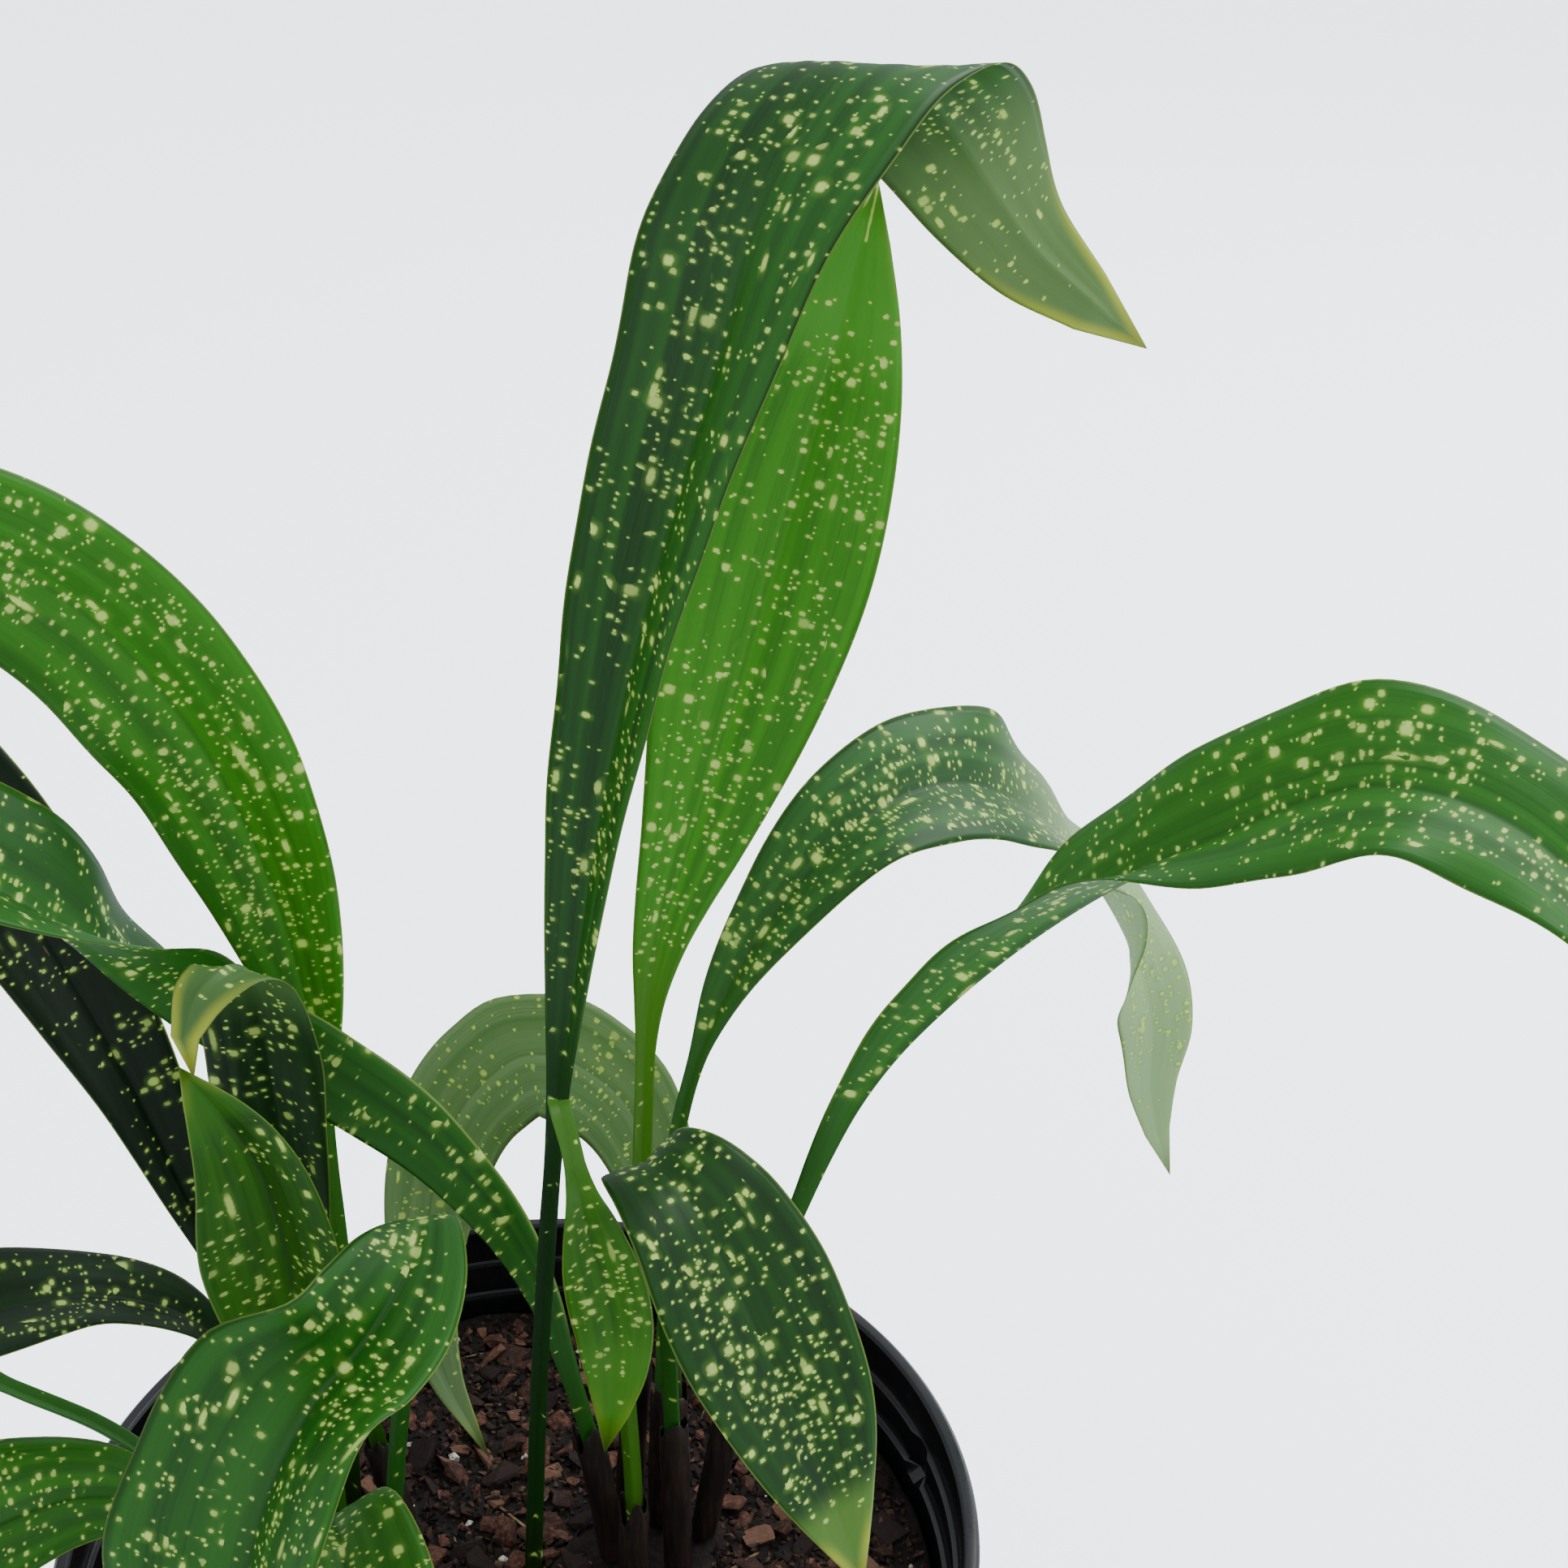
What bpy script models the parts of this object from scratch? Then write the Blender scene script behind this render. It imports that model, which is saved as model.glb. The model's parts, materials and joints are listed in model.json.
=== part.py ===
"""A speckled cast iron plant in a black nursery pot, standing on its pot.

Lengths are in millimetres in the tables below and are turned into metres when meshes are made.
X is to the right, Y is away from the front, Z is up, and the origin is the middle of the pot's base.
"""
import math

import bmesh
import bpy
import numpy as np
from mathutils import Vector

MM = 0.001
GAP = 0.3                  # clearance between neighbouring solids
HOLLOW_GAP = 0.5           # clearance of a clump in its hollow

# Pot
POT_HEIGHT = 216.0
LIP_RADIUS = 114.0
LIP_WIDTH = 4.0
LIP_DEPTH = 5.0
COLLAR_RADIUS = 111.4      # the stiff band under the lip
COLLAR_BOTTOM = 184.0
BODY_TOP_RADIUS = 108.0
BASE_RADIUS = 90.0
WALL = 2.0
LEDGE_HEIGHTS = (204.0, 194.0)
LEDGE_STEP = 1.7
POT_SIDES = 48
BASE_ROUND = 1.5           # how much the edge of the base is rounded off
DRAIN_COUNT = 8
DRAIN_RADIUS = 6.0
DRAIN_INSET = 14.0         # from the wall to the middle of a drain hole

# Potting mix and the rhizome clumps that sit in it
SOIL_TOP = 188.0
SOIL_CLEARANCE = 0.8       # between the mix and the pot's wall
SOIL_EDGE = 2.5            # width of the slope round the top and bottom of the mix
CROWN_TOP = 190.0
CROWN_DEPTH = 10.0
CROWN_MARGIN = 8.0         # how far a clump reaches round each leaf base
CROWN_SIDES = 8
CROWN_LEVELS = ((0.0, 0.75), (-2.5, 1.0), (-CROWN_DEPTH, 0.7))   # height from the top, share of margin

# Leaf section
PETIOLE_HALF_WIDTH = 2.5
PETIOLE_RIDGE = 2.4        # depth of the rounded back of a petiole
PETIOLE_FLANK = 1.5
BLADE_HALF_THICKNESS = 0.35
MIDRIB_RIDGE = 0.9
TAPER_WIDTH = 6.0          # a petiole's thickness is gone when the blade is this much wider
TIP_HALF_WIDTH = 4.0       # the blade thins towards the tip from this half width
LEAF_RINGS = 26

# Sheaths: dry papery tubes round the petiole bases
SHEATH_GAP = 0.5
SHEATH_WALL = 0.7
SHEATH_SIDES = 10
SHEATH_END = 3.0           # shortest band of faces at a sheath's mouth
SHEATH_FULLNESS = 1.1      # room for the petiole's corners
SHEATH_HEADROOM = 0.35     # room over the petiole's channel, as a share of its half width

LEAF_COLOURS = {"mid": "#3F7A2C", "bright": "#4E8A22", "dark": "#2B5222", "grey": "#5E7D53"}

# One leaf is its blade width, where along its length the blade starts, where the blade is widest,
# and stations from base to tip. A fullness under 1 makes the ends of the blade blunter. A station
# is x, y, z, then the compass direction and the height angle that the upper face looks in, then
# how far each half folds up from the midrib. Direction 0 looks to the front and 90 looks to the
# right. The colour is one of the greens above.
LEAVES = {
    "leaf_tall": dict(width=44, blade=0.27, widest=0.6, fullness=0.75, colour="dark", stations=(
        (2, -8, 190.3, -5, 0, 30), (10, -3, 290, -12, 5, 34), (18, 1, 360, -30, 5, 30),
        (34, 7, 445, -42, 5, 28), (52, 15, 507, -40, 12, 24), (64, 28, 542, -32, 35, 8),
        (80, 50, 558, -42, 78, -6), (99, 75, 541, -145, 50, 2), (120, 95, 510, -143, 5, 6),
        (150, 109, 482, -143, 0, 6))),
    "leaf_bright": dict(width=45, blade=0.36, widest=0.62, colour="bright", stations=(
        (24, 30, 190.3, 10, 0, 25), (29, 35, 260, 10, 0, 28), (31, 38, 310, 10, 0, 20),
        (35, 43, 355, 8, 0, 14), (47, 51, 395, 5, 0, 12), (57, 58, 428, 0, 0, 10),
        (68, 66, 466, 0, 2, 8), (78, 73, 500, 0, 2, 8), (85, 80, 530, 0, 2, 8))),
    "leaf_mid_right": dict(width=46, blade=0.3, widest=0.5, colour="mid", stations=(
        (33, 23, 190.3, -20, 0, 32), (36, 32, 260, -20, 5, 36), (40, 40, 308, -25, 10, 36),
        (50, 49, 338, -28, 18, 30), (66, 61, 360, -25, 30, 24), (87, 79, 374, -15, 42, 20),
        (110, 101, 370, 10, 55, 16), (132, 120, 350, 70, 60, 14), (153, 133, 320, 105, 30, 12),
        (167, 140, 290, 60, 5, 11), (174, 140, 264, 20, 0, 12), (175, 138, 240, 15, 0, 12),
        (183, 136, 213, 15, 0, 10))),
    "leaf_far_right": dict(width=46, blade=0.22, widest=0.6, colour="mid", stations=(
        (44, 19, 190.3, -110, 0, 32), (53, 21, 240, -118, 10, 36), (68, 23, 295, -128, 15, 40),
        (86, 23, 335, -135, 28, 40), (110, 21, 367, -148, 50, 34), (136, 16, 393, 180, 85, 28),
        (160, 10, 411, 0, 74, 20), (184, 0, 427, 0, 62, 12), (202, -12, 429, 10, 60, 10),
        (222, -26, 418, 20, 55, 10), (240, -40, 398, 25, 48, 10), (254, -52, 372, 30, 40, 10))),
    "leaf_front_droop": dict(width=42, blade=0.47, widest=0.5, colour="mid", stations=(
        (38, 8, 190.3, -150, 0, 30), (38, 10, 245, -150, 0, 32), (37, 9, 290, -140, 10, 28),
        (34, 4, 321, -130, 40, 18), (36, -5, 334, -30, 78, 10), (44, -14, 333, 20, 60, 8),
        (53, -23, 321, 28, 48, 10), (62, -32, 304, 30, 44, 12), (72, -41, 284, 30, 42, 12),
        (83, -51, 252, 30, 42, 10))),
    "leaf_short": dict(width=19, blade=0.66, widest=0.55, colour="bright", stations=(
        (27, -2, 190.3, 180, 0, 22), (28, 1, 221, 180, 0, 26), (27, 4, 256, 180, 0, 26),
        (26, 4, 285, 180, 5, 24), (23, 0, 310, 170, 10, 20), (20, -6, 331, 160, 15, 16),
        (18, -7, 347, 150, 25, 12), (17, -13, 360, 80, 85, 10), (20, -20, 353, 30, 25, 16),
        (21, -20, 343, 30, 0, 20), (22, -17, 330, 25, 0, 18), (24, -15, 315, 15, 5, 16),
        (27, -15, 297, 5, 5, 12), (27, -18, 280, 0, 5, 12), (24, -21, 262, 0, 5, 10))),
    "leaf_upper_left": dict(width=42, blade=0.3, widest=0.48, colour="mid", stations=(
        (-35, 22, 190.3, 20, 0, 25), (-44, 31, 234, 30, 0, 30), (-47, 39, 287, 30, 5, 25),
        (-50, 50, 339, 20, 8, 18), (-58, 54, 380, 10, 12, 12), (-71, 55, 414, 5, 18, 10),
        (-91, 52, 444, 0, 22, 8), (-116, 42, 465, -10, 32, 8), (-143, 34, 474, -20, 48, 8),
        (-169, 24, 467, -40, 60, 8), (-189, 14, 446, -60, 50, 8))),
    "leaf_long_left": dict(width=48, blade=0.12, widest=0.5, colour="mid", stations=(
        (21, 12, 190.3, 120, 0, 30), (18, 13, 222, 135, 0, 36), (11, 15, 253, 150, 0, 44),
        (-1, 18, 283, 160, 0, 46), (-22, 21, 310, 160, 5, 46), (-43, 22, 327, 162, 20, 44),
        (-60, 20, 343, 166, 42, 42), (-77, 15, 364, 175, 66, 38), (-91, 8, 388, -5, 84, 32),
        (-106, -1, 408, -5, 72, 24), (-126, -12, 420, -10, 64, 18), (-150, -25, 420, -25, 58, 14),
        (-174, -38, 406, -38, 50, 12), (-194, -49, 382, -45, 44, 10), (-206, -56, 354, -50, 40, 10))),
    "leaf_dark_left": dict(width=34, blade=0.2, widest=0.5, colour="dark", stations=(
        (-60, 12, 190.3, 20, 0, 30), (-63, 17, 226, 25, 0, 32), (-70, 25, 264, 35, 5, 34),
        (-80, 31, 292, 40, 8, 32), (-91, 38, 320, 45, 12, 28), (-103, 44, 346, 45, 18, 22),
        (-114, 48, 371, 35, 25, 16), (-124, 50, 393, 15, 35, 14), (-138, 51, 411, -5, 50, 12),
        (-158, 50, 420, -20, 70, 10), (-180, 46, 415, -50, 65, 10), (-199, 40, 396, -60, 50, 10),
        (-212, 34, 370, -65, 40, 10))),
    "leaf_curled_left": dict(width=29, blade=0.33, widest=0.55, colour="dark", stations=(
        (-46, 14, 190.3, -10, 0, 22), (-43, 12, 250, -10, 0, 26), (-47, 12, 308, -12, -5, 24),
        (-49, 11, 336, -12, -8, 18), (-49, 9, 362, -12, -20, 12), (-50, 2, 381, -10, -55, 8),
        (-53, -8, 386, 170, -75, 6), (-58, -16, 380, 170, -20, 8), (-57, -19, 368, 170, 0, 8))),
    "leaf_folded_left": dict(width=40, blade=0.3, widest=0.58, colour="bright", stations=(
        (-47, 0, 190.3, 0, 0, 22), (-44, -3, 245, 0, 0, 30), (-47, -4, 285, 0, 0, 36),
        (-48, -4, 312, 0, 5, 38), (-52, -4, 336, 5, 8, 36), (-65, -4, 360, 10, 10, 26))),
    "leaf_front_left": dict(width=64, blade=0.42, widest=0.55, colour="mid", stations=(
        (-34, -9, 190.3, 170, 0, 30), (-27, -11, 248, 175, 5, 30), (-21, -8, 290, 175, 10, 20),
        (-17, -10, 317, 178, 35, 5), (-13, -18, 329, 10, 85, 0), (-15, -31, 325, 25, 62, 18),
        (-24, -44, 316, 35, 56, 46), (-32, -54, 310, -20, 54, 38), (-38, -64, 302, -40, 46, 28),
        (-43, -75, 288, -42, 38, 24), (-47, -88, 262, -42, 28, 16), (-53, -104, 222, -40, 24, 10))),
    "leaf_low_left": dict(width=37, blade=0.3, widest=0.5, colour="dark", stations=(
        (-60, -4, 190.3, 60, 0, 25), (-60, 0, 230, 60, 10, 28), (-64, 4, 258, 60, 30, 28),
        (-75, 7, 276, 60, 60, 24), (-92, 4, 286, 0, 86, 16), (-114, -6, 292, -20, 82, 12),
        (-136, -18, 291, -30, 74, 10), (-158, -30, 282, -40, 64, 10), (-178, -40, 265, -45, 50, 10),
        (-192, -48, 244, -45, 40, 10))),
    "leaf_bottom_left": dict(width=44, blade=0.3, widest=0.5, colour="mid", stations=(
        (-58, -20, 190.3, 40, 0, 25), (-64, -22, 222, 50, 20, 26), (-76, -24, 245, 50, 55, 24),
        (-94, -27, 254, 0, 80, 16), (-114, -34, 252, -30, 70, 14), (-134, -42, 242, -40, 60, 12),
        (-150, -50, 225, -45, 50, 10), (-161, -58, 204, -50, 40, 10))),
    "leaf_outer_left": dict(width=36, blade=0.4, widest=0.5, colour="mid", stations=(
        (-72, 6, 190.3, 90, 5, 25), (-85, 10, 214, 90, 20, 28), (-103, 15, 230, 80, 50, 30),
        (-126, 20, 239, 60, 70, 26), (-150, 27, 244, 0, 80, 18), (-176, 32, 243, -30, 80, 14),
        (-200, 35, 232, -60, 70, 12), (-219, 37, 214, -80, 55, 10), (-232, 38, 190, -85, 40, 10))),
    "leaf_under_left": dict(width=38, blade=0.3, widest=0.45, colour="mid", stations=(
        (-46, -20, 190.3, 180, 0, 28), (-43, -24, 226, 180, 10, 30), (-39, -32, 252, 180, 50, 26),
        (-33, -46, 264, 0, 80, 18), (-27, -63, 263, 10, 62, 14), (-22, -81, 255, 15, 52, 12),
        (-19, -100, 241, 15, 45, 10), (-17, -120, 218, 15, 40, 10))),
    "leaf_back": dict(width=34, blade=0.2, widest=0.4, colour="grey", stations=(
        (36, 38, 190.3, 0, 0, 25), (35, 58, 230, 0, 5, 26), (32, 74, 262, 0, 15, 20),
        (20, 83, 287, 0, 25, 12), (0, 87, 296, 0, 30, 8), (-19, 88, 281, 0, 28, 8),
        (-30, 84, 256, 5, 22, 10), (-33, 72, 234, 20, 20, 10), (-28, 56, 213, 25, 35, 10),
        (-14, 40, 195, 25, 45, 10))),
}

# How far up its petiole each sheath reaches.
SHEATHS = {
    "leaf_bright": 50, "leaf_mid_right": 46, "leaf_far_right": 44, "leaf_front_droop": 52,
    "leaf_short": 34, "leaf_upper_left": 28, "leaf_long_left": 46, "leaf_back": 26,
}

CROWNS = {
    "rhizome_right": ("leaf_tall", "leaf_bright", "leaf_mid_right", "leaf_far_right",
                      "leaf_front_droop", "leaf_short", "leaf_long_left", "leaf_back"),
    "rhizome_left": ("leaf_upper_left", "leaf_dark_left", "leaf_curled_left", "leaf_folded_left",
                     "leaf_front_left", "leaf_low_left", "leaf_bottom_left", "leaf_outer_left",
                     "leaf_under_left"),
}


def clear_scene():
    for item in list(bpy.data.objects):
        bpy.data.objects.remove(item, do_unlink=True)


def make_material(name, hex_colour, roughness, metallic=0.0):
    """A Principled material from an sRGB hex colour."""
    channels = [int(hex_colour[i:i + 2], 16) / 255 for i in (1, 3, 5)]
    linear = [c / 12.92 if c <= 0.04045 else ((c + 0.055) / 1.055) ** 2.4 for c in channels]
    material = bpy.data.materials.new(name)
    material.use_nodes = True
    shader = material.node_tree.nodes["Principled BSDF"]
    shader.inputs["Base Color"].default_value = (*linear, 1.0)
    shader.inputs["Roughness"].default_value = roughness
    shader.inputs["Metallic"].default_value = metallic
    return material


def finish_object(name, mesh_builder, material, smooth_angle=None):
    """Turn a bmesh into a named object with outward faces."""
    bmesh.ops.recalc_face_normals(mesh_builder, faces=mesh_builder.faces)
    if mesh_builder.calc_volume(signed=True) < 0:
        bmesh.ops.reverse_faces(mesh_builder, faces=mesh_builder.faces)
    mesh = bpy.data.meshes.new(name)
    mesh_builder.to_mesh(mesh)
    mesh_builder.free()
    mesh.materials.append(material)
    if smooth_angle is not None:
        mesh.shade_smooth()
        mesh.set_sharp_from_angle(angle=math.radians(smooth_angle))
    item = bpy.data.objects.new(name, mesh)
    bpy.context.scene.collection.objects.link(item)
    return item


def skin(builder, rows):
    """Join neighbouring rows of corners into bands of faces round a body."""
    for first, second in zip(rows, rows[1:]):
        for i in range(len(first)):
            j = (i + 1) % len(first)
            corners = list(dict.fromkeys((first[i], first[j], second[j], second[i])))
            builder.faces.new(corners)


def thin_skin(builder, rows):
    """As skin, in triangles that lie the same way on the upper and the under face.

    On a twisted blade the two faces would cross if their triangles lay differently.
    """
    count = len(rows[0])
    for first, second in zip(rows, rows[1:]):
        for i in range(count):
            j = (i + 1) % count
            if i < count // 2:
                halves = ((first[i], first[j], second[j]), (first[i], second[j], second[i]))
            else:
                halves = ((first[i], first[j], second[i]), (first[j], second[j], second[i]))
            for corners in halves:
                builder.faces.new(corners)


def fan(builder, row, point):
    """Close the end of a body with triangles from a row of corners to one point."""
    middle = builder.verts.new(Vector(point) * MM)
    for i in range(len(row)):
        builder.faces.new((row[i], row[(i + 1) % len(row)], middle))


def rows_from(builder, rings):
    return [[builder.verts.new(Vector(point) * MM) for point in ring] for ring in rings]


def turned(profile, sides):
    """Spin a closed profile of (radius, height) points about Z; radius 0 marks the axis."""
    builder = bmesh.new()
    columns = []
    for radius, height in profile:
        if radius == 0:
            columns.append([builder.verts.new((0, 0, height * MM))] * sides)
            continue
        angles = [2 * math.pi * i / sides for i in range(sides)]
        ring = [(radius * math.cos(a), radius * math.sin(a), height) for a in angles]
        columns += rows_from(builder, [ring])
    skin(builder, columns)
    return builder


# ---------------------------------------------------------------- pot

def inner_radius(height):
    """Radius of the pot's inner wall below the ledges."""
    share = height / LEDGE_HEIGHTS[-1]
    top = COLLAR_RADIUS - WALL - LEDGE_STEP * len(LEDGE_HEIGHTS)
    return (BASE_RADIUS - WALL) + (top - BASE_RADIUS + WALL) * share


def pot_profile():
    """Down the outside from the axis of the base, over the lip, and down the inside."""
    lip_bottom = POT_HEIGHT - LIP_DEPTH
    inside_lip = LIP_RADIUS - LIP_WIDTH
    points = [(0, 0), (BASE_RADIUS - BASE_ROUND, 0), (BASE_RADIUS, BASE_ROUND),
              (BODY_TOP_RADIUS, COLLAR_BOTTOM - 2), (COLLAR_RADIUS - 0.8, COLLAR_BOTTOM),
              (COLLAR_RADIUS, lip_bottom), (LIP_RADIUS, lip_bottom + 0.8),
              (LIP_RADIUS, POT_HEIGHT - 1.0), (LIP_RADIUS - 1.0, POT_HEIGHT),
              (inside_lip + 0.8, POT_HEIGHT), (inside_lip, POT_HEIGHT - 0.8)]
    radius = inside_lip - 0.4
    for height in LEDGE_HEIGHTS:
        points += [(radius, height + 0.7), (radius - 0.5, height)]
        radius -= LEDGE_STEP
        points += [(radius, height)]
        radius -= 0.2
    return points + [(inner_radius(WALL + BASE_ROUND), WALL + BASE_ROUND),
                     (inner_radius(WALL) - BASE_ROUND, WALL), (0, WALL)]


def build_pot(cutter_material):
    pot = finish_object("nursery_pot", turned(pot_profile(), POT_SIDES),
                        make_material("pot_black", "#17191B", 0.35), 32)
    drain_builder = bmesh.new()
    for i in range(DRAIN_COUNT):
        angle = 2 * math.pi * (i + 0.5) / DRAIN_COUNT
        hole = bmesh.ops.create_cone(drain_builder, cap_ends=True, segments=12, depth=8 * WALL * MM,
                                     radius1=DRAIN_RADIUS * MM, radius2=DRAIN_RADIUS * MM)
        reach = (BASE_RADIUS - DRAIN_INSET) * MM
        centre = Vector((math.cos(angle) * reach, math.sin(angle) * reach, 0))
        bmesh.ops.translate(drain_builder, verts=hole["verts"], vec=centre)
    cut_with(pot, finish_object("drain_cutter", drain_builder, cutter_material))


def cut_with(item, cutter):
    """Subtract a hidden cutter from an object."""
    cutter.hide_render = True
    cutter.display_type = "WIRE"
    cut = item.modifiers.new("cut_" + cutter.name, "BOOLEAN")
    cut.operation = "DIFFERENCE"
    cut.solver = "EXACT"
    cut.object = cutter


# ---------------------------------------------------------------- potting mix and rhizomes

def crown_solid(leaf_names, grow):
    """The hull of a stubby round under each leaf base, grown by some clearance."""
    builder = bmesh.new()
    for leaf_name in leaf_names:
        x, y = LEAVES[leaf_name]["stations"][0][:2]
        for below_top, share in CROWN_LEVELS:
            radius = CROWN_MARGIN * share + grow
            height = CROWN_TOP + below_top + (-grow if below_top == -CROWN_DEPTH else grow)
            angles = [2 * math.pi * (i + 0.5) / CROWN_SIDES for i in range(CROWN_SIDES)]
            rows_from(builder, [[(x + radius * math.cos(a), y + radius * math.sin(a), height)
                                 for a in angles]])
    hull = bmesh.ops.convex_hull(builder, input=builder.verts, use_existing_faces=False)
    spare = hull["geom_interior"] + hull["geom_unused"]
    corners = {item for item in spare if isinstance(item, bmesh.types.BMVert)}
    bmesh.ops.delete(builder, geom=list(corners), context="VERTS")
    bmesh.ops.dissolve_limit(builder, angle_limit=math.radians(1), verts=builder.verts,
                             edges=builder.edges)
    return builder


def build_soil(cutter_material):
    floor, lower_edge, upper_edge = WALL + GAP, 6.0, SOIL_TOP - 2
    profile = [(0, floor), (inner_radius(floor) - SOIL_EDGE, floor),
               (inner_radius(lower_edge) - SOIL_CLEARANCE, lower_edge),
               (inner_radius(upper_edge) - SOIL_CLEARANCE, upper_edge),
               (inner_radius(SOIL_TOP) - SOIL_EDGE, SOIL_TOP), (0, SOIL_TOP)]
    soil = finish_object("potting_mix", turned(profile, POT_SIDES),
                         make_material("bark_mix", "#3A2A22", 0.95), 40)
    for name, leaf_names in CROWNS.items():
        hollow = crown_solid(leaf_names, HOLLOW_GAP)
        cut_with(soil, finish_object(name + "_hollow", hollow, cutter_material))


def build_crowns():
    material = make_material("rhizome_brown", "#5A4632", 0.85)
    for name, leaf_names in CROWNS.items():
        finish_object(name, crown_solid(leaf_names, 0.0), material, 25)


# ---------------------------------------------------------------- leaves

def unit(vectors):
    return vectors / np.maximum(np.linalg.norm(vectors, axis=-1, keepdims=True), 1e-9)


def facing(azimuth, height_angle):
    azimuth, height_angle = np.radians(azimuth), np.radians(height_angle)
    return np.stack([np.sin(azimuth) * np.cos(height_angle),
                     -np.cos(azimuth) * np.cos(height_angle), np.sin(height_angle)], -1)


def smooth_through(rows, count):
    """A smooth curve through the rows, read at count places evenly spaced along its chords."""
    chord = np.linalg.norm(np.diff(rows[:, :3], axis=0), axis=1)
    knots = np.concatenate([[0.0], np.cumsum(chord)])
    slopes = np.diff(rows, axis=0) / chord[:, None]
    tangents = np.empty_like(rows)
    tangents[0], tangents[-1] = slopes[0], slopes[-1]
    before, after = chord[:-1, None], chord[1:, None]
    tangents[1:-1] = (slopes[:-1] * after + slopes[1:] * before) / (before + after)
    places = np.linspace(0, knots[-1], count)
    index = np.clip(np.searchsorted(knots, places, side="right") - 1, 0, len(rows) - 2)
    step = chord[index][:, None]
    x = ((places - knots[index]) / chord[index])[:, None]
    return ((2 * x**3 - 3 * x**2 + 1) * rows[index] + (x**3 - 2 * x**2 + x) * step * tangents[index]
            + (3 * x**2 - 2 * x**3) * rows[index + 1] + (x**3 - x**2) * step * tangents[index + 1])


class LeafRoute:
    """Midrib points, directions, half widths and folds along a leaf, in millimetres."""

    def __init__(self, leaf, count):
        stations = np.array(leaf["stations"], float)
        looks = facing(stations[:, 3], stations[:, 4])
        rows = smooth_through(np.column_stack([stations[:, :3], looks, stations[:, 5]]), count)
        self.points = rows[:, :3]
        self.along = unit(np.gradient(self.points, axis=0))
        look = rows[:, 3:6]
        self.face = unit(look - np.sum(look * self.along, axis=1, keepdims=True) * self.along)
        self.side = np.cross(self.along, self.face)
        self.fold = np.radians(rows[:, 6])
        steps = np.linalg.norm(np.diff(self.points, axis=0), axis=1)
        self.distance = np.concatenate([[0.0], np.cumsum(steps)])
        share = self.distance / self.distance[-1]
        self.blade = np.clip((share - leaf["blade"]) / (1 - leaf["blade"]), 0, 1)
        power = math.log(0.5) / math.log(leaf["widest"])
        outline = np.clip(np.sin(math.pi * self.blade**power), 0, 1)
        blade_half = leaf["width"] / 2 * outline ** leaf.get("fullness", 1.0)
        petiole = PETIOLE_HALF_WIDTH * np.clip(1 - self.blade / leaf["widest"], 0, 1) ** 0.5
        self.half_width = np.cbrt(blade_half**3 + petiole**3)


def leaf_ring(route, i):
    """Eight points round a leaf: margin, over the upper face to the other margin, and back under."""
    half = route.half_width[i]
    tip = np.clip(half / TIP_HALF_WIDTH, 0.2, 1)
    thin, rib = BLADE_HALF_THICKNESS * tip, MIDRIB_RIDGE * tip
    stalk = 1 - np.clip((half - PETIOLE_HALF_WIDTH) / TAPER_WIDTH, 0, 1)
    if route.blade[i] >= 0.5:
        stalk = 0.0
    flank = thin + (PETIOLE_FLANK - thin) * stalk
    ridge = rib + (PETIOLE_RIDGE - rib) * stalk
    across, up = math.cos(route.fold[i]), math.sin(route.fold[i])
    outline = [(-1.0, 0.0), (-0.5, thin), (0.0, thin), (0.5, thin), (1.0, 0.0),
               (0.5, -flank), (0.0, -ridge), (-0.5, -flank)]
    ring = []
    for share, lift in outline:
        sideways = share * half * across
        rise = abs(share) * half * up + lift
        ring.append(route.points[i] + route.side[i] * sideways + route.face[i] * rise)
    return ring


def level_off(ring, height):
    """Set a ring flat at one height, where a leaf or sheath stands on its rhizome."""
    for point in ring:
        point[2] = height


def build_leaf(name, leaf, material):
    route = LeafRoute(leaf, LEAF_RINGS)
    rings = [leaf_ring(route, i) for i in range(LEAF_RINGS - 1)]
    level_off(rings[0], route.points[0][2])
    builder = bmesh.new()
    rows = rows_from(builder, rings)
    thin_skin(builder, rows)
    fan(builder, rows[0], np.mean(rings[0], axis=0))
    fan(builder, rows[-1], route.points[-1])
    finish_object(name, builder, material, 50)


# ---------------------------------------------------------------- sheaths

def sheath_ring(route, distance, grow):
    """A rounded ring round the petiole at a distance along it, grown outwards from its section."""
    def blend(values):
        return np.array([np.interp(distance, route.distance, column) for column in np.transpose(values)])

    middle, side, face = blend(route.points), blend(route.side), blend(route.face)
    fold = np.interp(distance, route.distance, route.fold)
    half = (PETIOLE_HALF_WIDTH + grow) * SHEATH_FULLNESS
    top = (PETIOLE_HALF_WIDTH * (math.sin(fold) + SHEATH_HEADROOM) + grow) * SHEATH_FULLNESS
    bottom = (PETIOLE_RIDGE + grow) * SHEATH_FULLNESS
    ring = []
    for k in range(SHEATH_SIDES):
        angle = 2 * math.pi * k / SHEATH_SIDES
        lift = math.sin(angle)
        depth = top if lift > 0 else bottom
        ring.append(middle + side * half * math.cos(angle) + face * depth * lift)
    return ring


def build_sheath(leaf_name, reach, material):
    """A dry tube round a petiole, from just above the rhizome to its reach."""
    route = LeafRoute(LEAVES[leaf_name], LEAF_RINGS)
    inside = route.distance[(route.distance > 0) & (route.distance < reach - SHEATH_END)]
    stops = [0.0, *inside, reach]
    outer = [sheath_ring(route, stop, SHEATH_GAP + SHEATH_WALL) for stop in stops]
    inner = [sheath_ring(route, stop, SHEATH_GAP) for stop in stops]
    level_off(outer[0], route.points[0][2])
    level_off(inner[0], route.points[0][2])
    builder = bmesh.new()
    rows = rows_from(builder, outer + inner[::-1])
    skin(builder, rows + rows[:1])
    finish_object(leaf_name.replace("leaf_", "sheath_"), builder, material, 60)


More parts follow.
